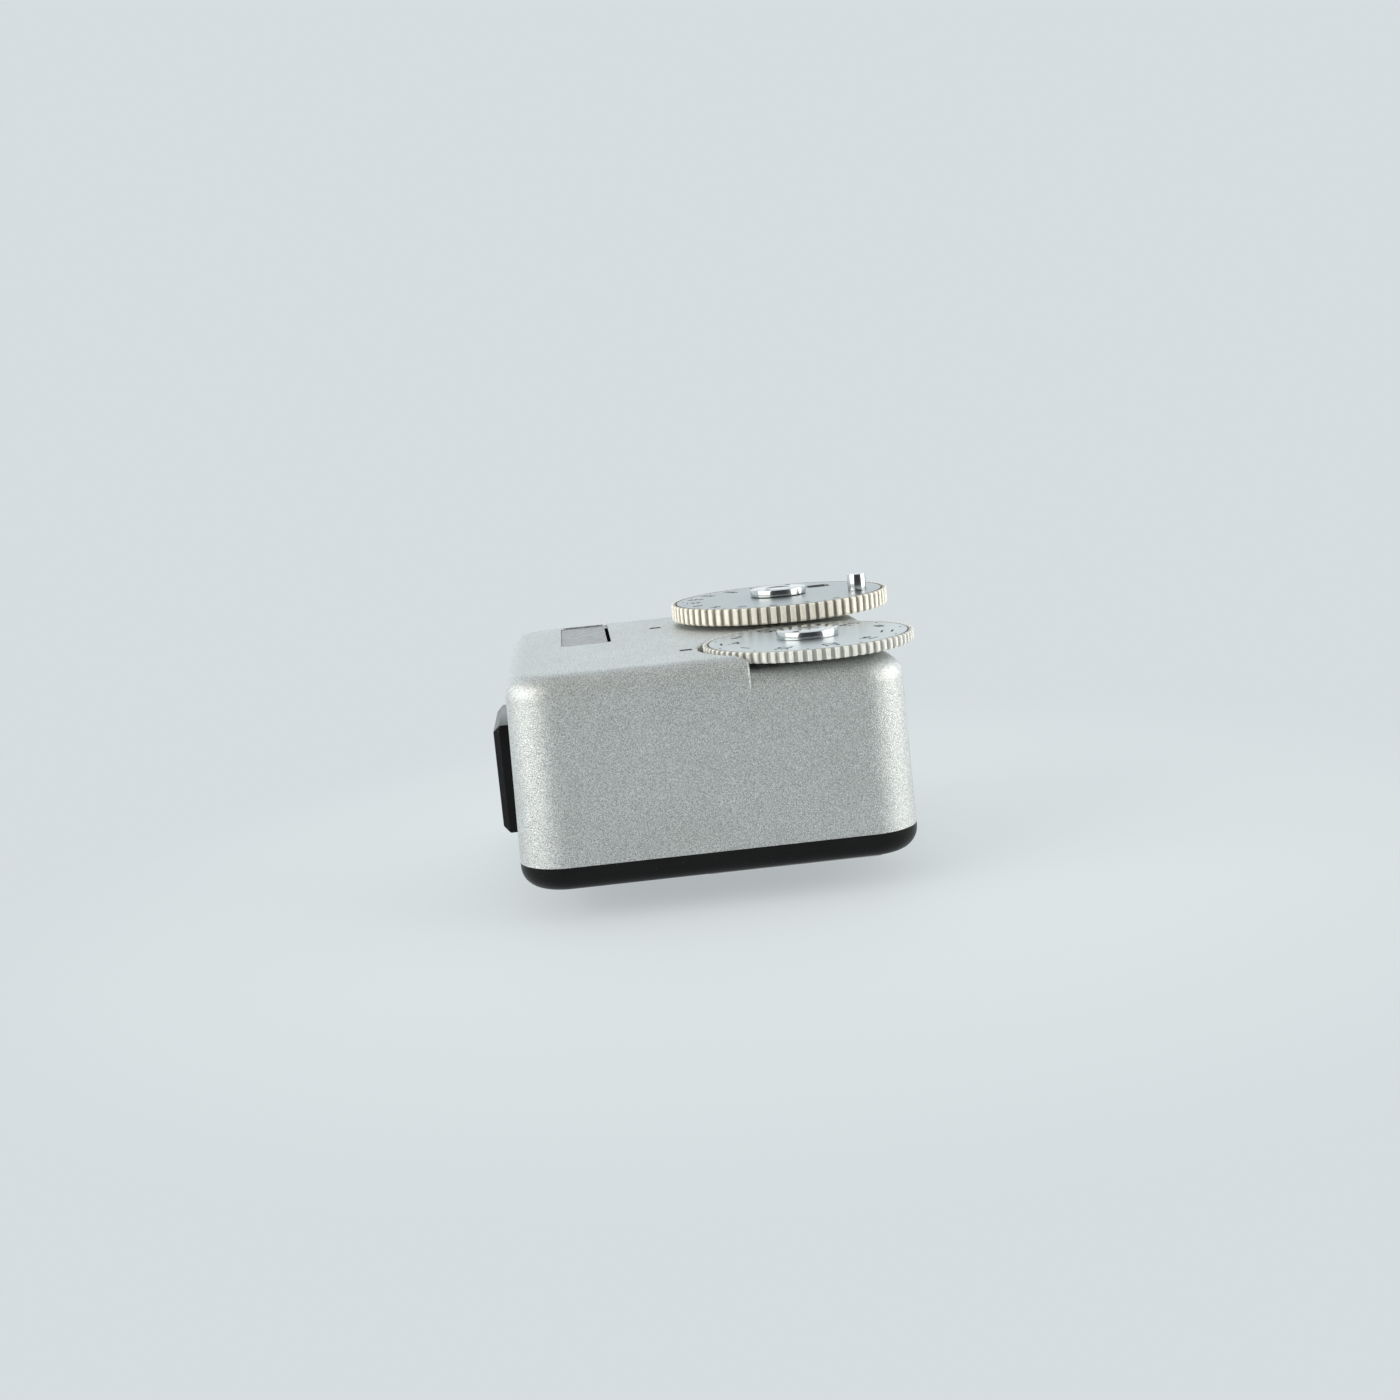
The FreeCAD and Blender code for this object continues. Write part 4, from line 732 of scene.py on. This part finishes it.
# The last number in each row sets how dark the painted shade in the slots and seam is.
for prefix, y, radius, teeth, dark, light, painted_shade_strength in (
    ("shutter", shutter_y, 12.4, 72, (0.86, 0.83, 0.74), (0.97, 0.94, 0.85), 0.6),
    ("aperture", aperture_y, 10.85, 74, (0.78, 0.78, 0.74), (0.89, 0.89, 0.85), 0.45),
):
    low, high = (corner.z for corner in extent(prefix + "_rim"))
    face_radius = radius - rim_wall
    face_seat = extent(prefix + "_face")[0].z
    inner = [(face_radius + seam, high), (face_radius, high - seam)]
    if prefix == "shutter":
        scale_seat = extent("sensitivity_scale")[0].z
        step = face_radius - inner_step
        inner += [(face_radius, face_seat - seat_gap), (step, face_seat - seat_gap),
                  (step, scale_seat), (collar, scale_seat), (collar, low)]
    else:
        inner += [(face_radius, face_seat), (collar, face_seat), (collar, low)]
    points, faces, soil = tooth_wedge(radius, teeth, low, high, inner)
    silver = turned_metal(
        prefix + "_rim_silver", (dial_x, y), dark, light, 0.52, 0.64, pitch=0.08, across=0.4,
        metallic=0.15, painted_shade_strength=painted_shade_strength)
    rim = grown(prefix + "_toothed_rim", points, toothed_rim, {
        "Teeth": teeth, "Centre": Vector((dial_x, y, 0)) * MM, "Material": silver},
        faces, {"soil": soil})
    fit(smooth(rim, 20.0), prefix + "_dial", "dial_rim_metal", prefix + "_rim")


# ------------------------------------------------------------------ dial faces
# The face plates, stamped from aluminium sheet, satin anodised and printed in black. The upper
# one slips round on its rim by the pin; the lower one is pressed in.


def face_metal(name, tone, seed):
    """Satin anodised sheet, with marks where fingers have been. Its colours are scaled by tone,
    which is painted light: the same sheet made lighter or darker for how light falls on it.
    """
    finish = Finish(name, metallic=0.8)
    satin = finish.grain(0.07 * MM, detail=2)
    handled = finish.grain(3.5 * MM, detail=3, seed=seed)
    dark, light = ([tone * part for part in colour]
                   for colour in ((0.42, 0.46, 0.475), (0.52, 0.56, 0.575)))
    body = finish.tint(satin, (0.3, dark), (0.7, light))
    worn = finish.tint(handled, (0.3, (0.93, 0.94, 0.95)), (0.7, (1, 1, 1)))
    finish.show(finish.blend(1.0, body, worn, "MULTIPLY"), finish.spread(satin, 0.3, 0.4))
    finish.raise_by(satin, 0.003 * MM)
    return finish.material


# Painted light: the upper plate is painted darker, and the lower one, under the upper dial,
# lighter.
coat(face_metal("satin_face_upper", 0.73, 10.2), "shutter_face")
coat(face_metal("satin_face_lower", 1.05, -11.85), "aperture_face")


def printed(text, size, thickness):
    """A word as raised print, centred on its own origin, in metres."""
    curve = bpy.data.curves.new("print", "FONT")
    curve.body = text
    curve.size = size * MM
    curve.align_x = "CENTER"
    curve.align_y = "CENTER"
    curve.extrude = thickness / 2 * MM
    curve.resolution_u = 3
    holder = bpy.data.objects.new("print", curve)
    scene.collection.objects.link(holder)
    mesh = plain_mesh(holder)
    bpy.data.objects.remove(holder)
    return mesh


def dial_print(name, y, level, words, dots, material):
    """Numbers along the dial's radii, read from the edge inwards, and round dots, as one piece."""
    shape = bmesh.new()
    thickness = 0.02
    middle = Vector((dial_x, y, level))
    for text, bearing, reach, size in words:
        mesh = printed(text, size, thickness)
        mesh.transform(Matrix.Translation(middle * MM)
                       @ Matrix.Rotation(math.radians(bearing - 180), 4, "Z")
                       @ Matrix.Translation(Vector((-reach, 0, 0)) * MM))
        shape.from_mesh(mesh)
        bpy.data.meshes.remove(mesh)
    for bearing, reach, radius in dots:
        turn = math.radians(bearing)
        spot = middle + Vector((math.cos(turn), math.sin(turn), 0)) * reach
        bmesh.ops.create_cone(shape, cap_ends=True, segments=16, radius1=radius * MM,
                              radius2=radius * MM, depth=thickness * MM,
                              matrix=Matrix.Translation(spot * MM))
    bmesh.ops.remove_doubles(shape, verts=shape.verts, dist=1e-7)
    return piece_of(shape, name, material)


stops = ["1.4", "2", "2.8", "4", "5.6", "8", "11", "16", "22", "32", "1"]
stop_pitch, stop_reach, stop_size = 360 / len(stops), 8.2, 2.1
half_stop_reach, half_stop_radius = 9.7, 0.13
aperture_numbers = dial_print(
    "aperture_numbers", aperture_y, extent("aperture_face")[1].z,
    [(stop, 180 - i * stop_pitch, stop_reach, stop_size) for i, stop in enumerate(stops)],
    [(180 - (i + 0.5) * stop_pitch, half_stop_reach, half_stop_radius)
     for i in range(len(stops))], black_enamel)
fit(aperture_numbers, "aperture_dial", "dial_face_metal")

speeds = ["4000", "2000", "1000", "500", "250", "125", "60", "30", "15", "8", "4", "2", "1"]
speed_start, speed_pitch, speed_size, speed_edge, digit_half = 80, 20, 1.25, 11.0, 0.36
half_speed_reach, half_speed_radius = 11.1, 0.09
shutter_top = extent("shutter_face")[1].z
shutter_numbers = dial_print(
    "shutter_numbers", shutter_y, shutter_top,
    [(speed, speed_start + speed_pitch * i, speed_edge - digit_half * len(speed), speed_size)
     for i, speed in enumerate(speeds)],
    [(speed_start + speed_pitch * (i + 0.5), half_speed_reach, half_speed_radius)
     for i in range(len(speeds) - 1)], black_enamel)
fit(shutter_numbers, "shutter_plate", "dial_face_metal")


# ------------------------------------------------------------------ sensitivity scale
# The dark plate inside the upper rim. Its numbers pass under the face plate's square opening
# when the face is slipped round.

scale_metal = drawn_metal(
    "dark_anodised_scale", (0.03, 0.022, 0.022), (0.055, 0.04, 0.04), 0.35, 0.5, (1, 1, 1))
coat(scale_metal, "sensitivity_scale")
pale_enamel = enamel("pale_enamel", (0.55, 0.54, 0.5), (0.68, 0.67, 0.63))
film_speeds = ["6", "12", "25", "50", "100", "200", "400", "800", "1600", "3200"]
opening_bearing, shown_at_rest, film_pitch, film_reach, film_size = 46, 4, 20, 7.8, 1.1
sensitivity_numbers = dial_print(
    "sensitivity_numbers", shutter_y, extent("sensitivity_scale")[1].z,
    [(number, opening_bearing + film_pitch * (i - shown_at_rest), film_reach, film_size)
     for i, number in enumerate(film_speeds)], [], pale_enamel)
fit(sensitivity_numbers, "shutter_dial", "scale_plate")


# ------------------------------------------------------------------ hub nuts and setting pin
# Round nuts that hold the dials on their spindles, with two holes for a pin spanner, and the pin
# that slips the upper face. Turned brass, polished and bright nickel plated.

nickel = Finish("bright_nickel", metallic=1.0)
polish_hairs = nickel.grain(0.025 * MM, (1, 30, 1), detail=1)
plating_cloud = nickel.grain(0.9 * MM, detail=2, seed=10.2)
nickel.show(
    nickel.tint(plating_cloud, (0.35, (0.44, 0.46, 0.47)), (0.65, (0.475, 0.495, 0.505))),
    nickel.spread(polish_hairs, 0.1, 0.17))
nickel.raise_by(polish_hairs, 0.0006 * MM)


def drilled_works():
    """Two blind holes sunk into a turned piece."""
    works = Works("drilled", {
        "Reach": "Vector", "Radius": "Float", "Depth": "Float", "Material": "Material"})
    given = works.given
    bit = works.add("MeshCylinder", {
        "Vertices": 24, "Radius": given["Radius"],
        "Depth": works.reckon("MULTIPLY", given["Depth"], 2.0)})["Mesh"]
    opposite = works.add("ShaderNodeVectorMath", {
        0: given["Reach"], 1: (-1.0, -1.0, 1.0)}, operation="MULTIPLY")[0]
    holes = [works.moved(bit, Translation=place) for place in (given["Reach"], opposite)]
    works.end(works.add("MeshBoolean", {"Mesh 1": given["Geometry"], "Mesh 2": holes},
                        operation="DIFFERENCE", solver="EXACT")[0])
    return works


nut_radius, nut_edge, stud_radius, stud_sunk = 3.2, 0.12, 1.5, 0.08
hole_radius, hole_depth, hole_reach, hole_bearing = 0.38, 0.5, 2.35, math.radians(53)
drilled = drilled_works()
for prefix, y in (("shutter", shutter_y), ("aperture", aperture_y)):
    low, high = (corner.z for corner in extent(prefix + "_nut"))
    height = high - low
    blank = lathed(prefix + "_nut_blank", [
        (0, -height), (nut_radius - nut_edge / 2, -height), (nut_radius, nut_edge / 2 - height),
        (nut_radius, -nut_edge), (nut_radius - nut_edge * 0.3, -nut_edge * 0.3),
        (nut_radius - nut_edge, 0), (stud_radius, 0), (stud_radius - stud_sunk, -stud_sunk),
        (0, -stud_sunk)], (0, 0, 0), nickel.material, 96)
    points = [tuple(vertex.co) for vertex in blank.data.vertices]
    faces = [tuple(face.vertices) for face in blank.data.polygons]
    bpy.data.objects.remove(blank)
    reach = Vector((math.cos(hole_bearing), math.sin(hole_bearing), 0)) * hole_reach
    nut = grown(prefix + "_hub_nut", points, drilled, {
        "Reach": reach * MM, "Radius": hole_radius * MM, "Depth": hole_depth * MM,
        "Material": nickel.material}, faces)
    nut.data.transform(Matrix.Translation(Vector((dial_x, y, high)) * MM))
    fit(smooth(nut), prefix + "_dial", "bright_nickel", prefix + "_nut")

pin_low, pin_high = extent("setting_pin")
pin_middle = ((pin_low.x + pin_high.x) / 2, (pin_low.y + pin_high.y) / 2, 0)
pin_radius, pin_foot_edge, pin_top_edge = (pin_high.x - pin_low.x) / 2, 0.04, 0.14
pin = lathed("upright_pin", [
    (0, pin_low.z), (pin_radius / 2, pin_low.z), (pin_radius / 2, shutter_top),
    (pin_radius - pin_foot_edge, shutter_top), (pin_radius, shutter_top + pin_foot_edge),
    (pin_radius, pin_high.z - pin_top_edge),
    (pin_radius - pin_foot_edge, pin_high.z - pin_foot_edge),
    (pin_radius - pin_top_edge, pin_high.z), (0, pin_high.z)], pin_middle, nickel.material, 64)
fit(pin, "shutter_plate", "bright_nickel", "setting_pin")


# ------------------------------------------------------------------ floor
# A plain pale sweep under the meter. It takes the meter's shadow near it and is as pale as the
# backdrop further off.

PALE = (0.673, 0.723, 0.743)
FLOOR_DARK, FLOOR_LIGHT = ([shade * part for part in PALE] for shade in (1.19, 1.2))
sweep_reach = 60.0
sweep = bpy.data.meshes.new("sweep")
sweep.from_pydata([(x * sweep_reach, y * sweep_reach, 0)
                   for x, y in ((-1, -1), (1, -1), (1, 1), (-1, 1))], [], [(0, 1, 2, 3)])
floor = bpy.data.objects.new("floor", sweep)
scene.collection.objects.link(floor)
paper = Finish("pale_sweep", Roughness=0.7)
paper.show(paper.tint(paper.grain(2 * MM, detail=2), (0.3, FLOOR_DARK), (0.7, FLOOR_LIGHT)))
distance = paper.add("ShaderNodeVectorMath", {0: paper.place}, operation="LENGTH").outputs["Value"]
near_share, far_share, near_end, far_start = 0.62, 1.0, 0.03, 0.09
away = paper.spread(distance, near_share, far_share, near_end, far_start)
rays = paper.add("ShaderNodeLightPath").outputs
looked_at = paper.reckon("MAXIMUM", rays["Is Transmission Ray"], paper.reckon(
    "MAXIMUM", rays["Is Camera Ray"], rays["Is Glossy Ray"]))
glow = paper.add("ShaderNodeEmission", {"Color": (*PALE, 1), "Strength": 1.0}).outputs[0]
joined = paper.add("ShaderNodeMixShader", {
    0: paper.reckon("MULTIPLY", away, looked_at), 1: paper.shader.outputs[0], 2: glow})
paper.tree.links.new(joined.outputs[0], paper.tree.nodes["Material Output"].inputs["Surface"])
sweep.materials.append(paper.material)


# ------------------------------------------------------------------ light
# A room that is pale behind the meter, dark in front of it and half pale overhead, with a large
# soft lamp at each side, a little warm. The eye itself sees only the plain pale backdrop.

FRONT, CEILING = (0.077, 0.081, 0.081), (0.5, 0.5, 0.48)
REAR = tuple(1.6 * part for part in PALE)
world = bpy.data.worlds.new("studio")
scene.world = world
world.use_nodes = True
room = world.node_tree


def ramped(value, start, end):
    """From nought to one as value goes from start to end."""
    return laid(room, "ShaderNodeMapRange", {
        "Value": value, "From Min": start, "From Max": end, "To Min": 0.0,
        "To Max": 1.0}).outputs[0]


backdrop = room.nodes["Background"]
backdrop.inputs["Color"].default_value = (*PALE, 1)
aim = laid(room, "ShaderNodeTexCoord").outputs["Generated"]
toward = laid(room, "ShaderNodeSeparateXYZ", {0: aim}).outputs
walls = laid(room, "ShaderNodeMix", {
    0: ramped(toward["Y"], -0.9, 0.3), 6: (*FRONT, 1), 7: (*REAR, 1)}, data_type="RGBA")
room_colour = laid(room, "ShaderNodeMix", {
    0: ramped(toward["Z"], 0.6, 1.0), 6: walls.outputs[2], 7: (*CEILING, 1)}, data_type="RGBA")
around = laid(room, "ShaderNodeBackground", {"Color": room_colour.outputs[2]})
room_rays = laid(room, "ShaderNodeLightPath").outputs
straight = laid(room, "ShaderNodeMath", {
    0: room_rays["Is Camera Ray"], 1: room_rays["Is Transmission Ray"]}, operation="MAXIMUM")
both = laid(room, "ShaderNodeMixShader", {
    0: straight.outputs[0], 1: around.outputs[0], 2: backdrop.outputs[0]})
room.links.new(both.outputs[0], room.nodes["World Output"].inputs["Surface"])

WARM = (1.0, 0.945, 0.86)
head_distance, head_width, head_height = 0.6, 0.6, 0.34
for name, bearing, elevation, power in (
    ("left_lamp_head", -69, 22, 2.8),
    ("right_lamp_head", 78, 14, 2.75),
):
    head = bpy.data.lights.new(name, "AREA")
    head.shape = "RECTANGLE"
    head.size, head.size_y = head_width, head_height
    head.energy = power
    head.color = WARM
    holder = bpy.data.objects.new(name, head)
    scene.collection.objects.link(holder)
    side, up = math.radians(bearing), math.radians(elevation)
    outward = Vector((math.sin(side) * math.cos(up), -math.cos(side) * math.cos(up), math.sin(up)))
    holder.location = outward * head_distance
    holder.rotation_euler = outward.to_track_quat("Z", "Y").to_euler()


# ------------------------------------------------------------------ camera
# Almost level with the meter's top and 19 cm from the side that the lower dial is on, pitched and
# rolled a little, so that the meter seems to lean.

camera_place = Vector((-20.67420, -185.18967, 47.33279))
camera_turn = (80.77707423, 5.24260926, -4.78473799)
lens = bpy.data.cameras.new("camera")
lens.lens = 43.97143
lens.sensor_width = 36.0
lens.clip_start = 0.01
camera = bpy.data.objects.new("camera", lens)
scene.collection.objects.link(camera)
camera.location = camera_place * MM
camera.rotation_euler = Euler([math.radians(angle) for angle in camera_turn], "XYZ")
scene.camera = camera
scene.view_settings.view_transform = "Standard"
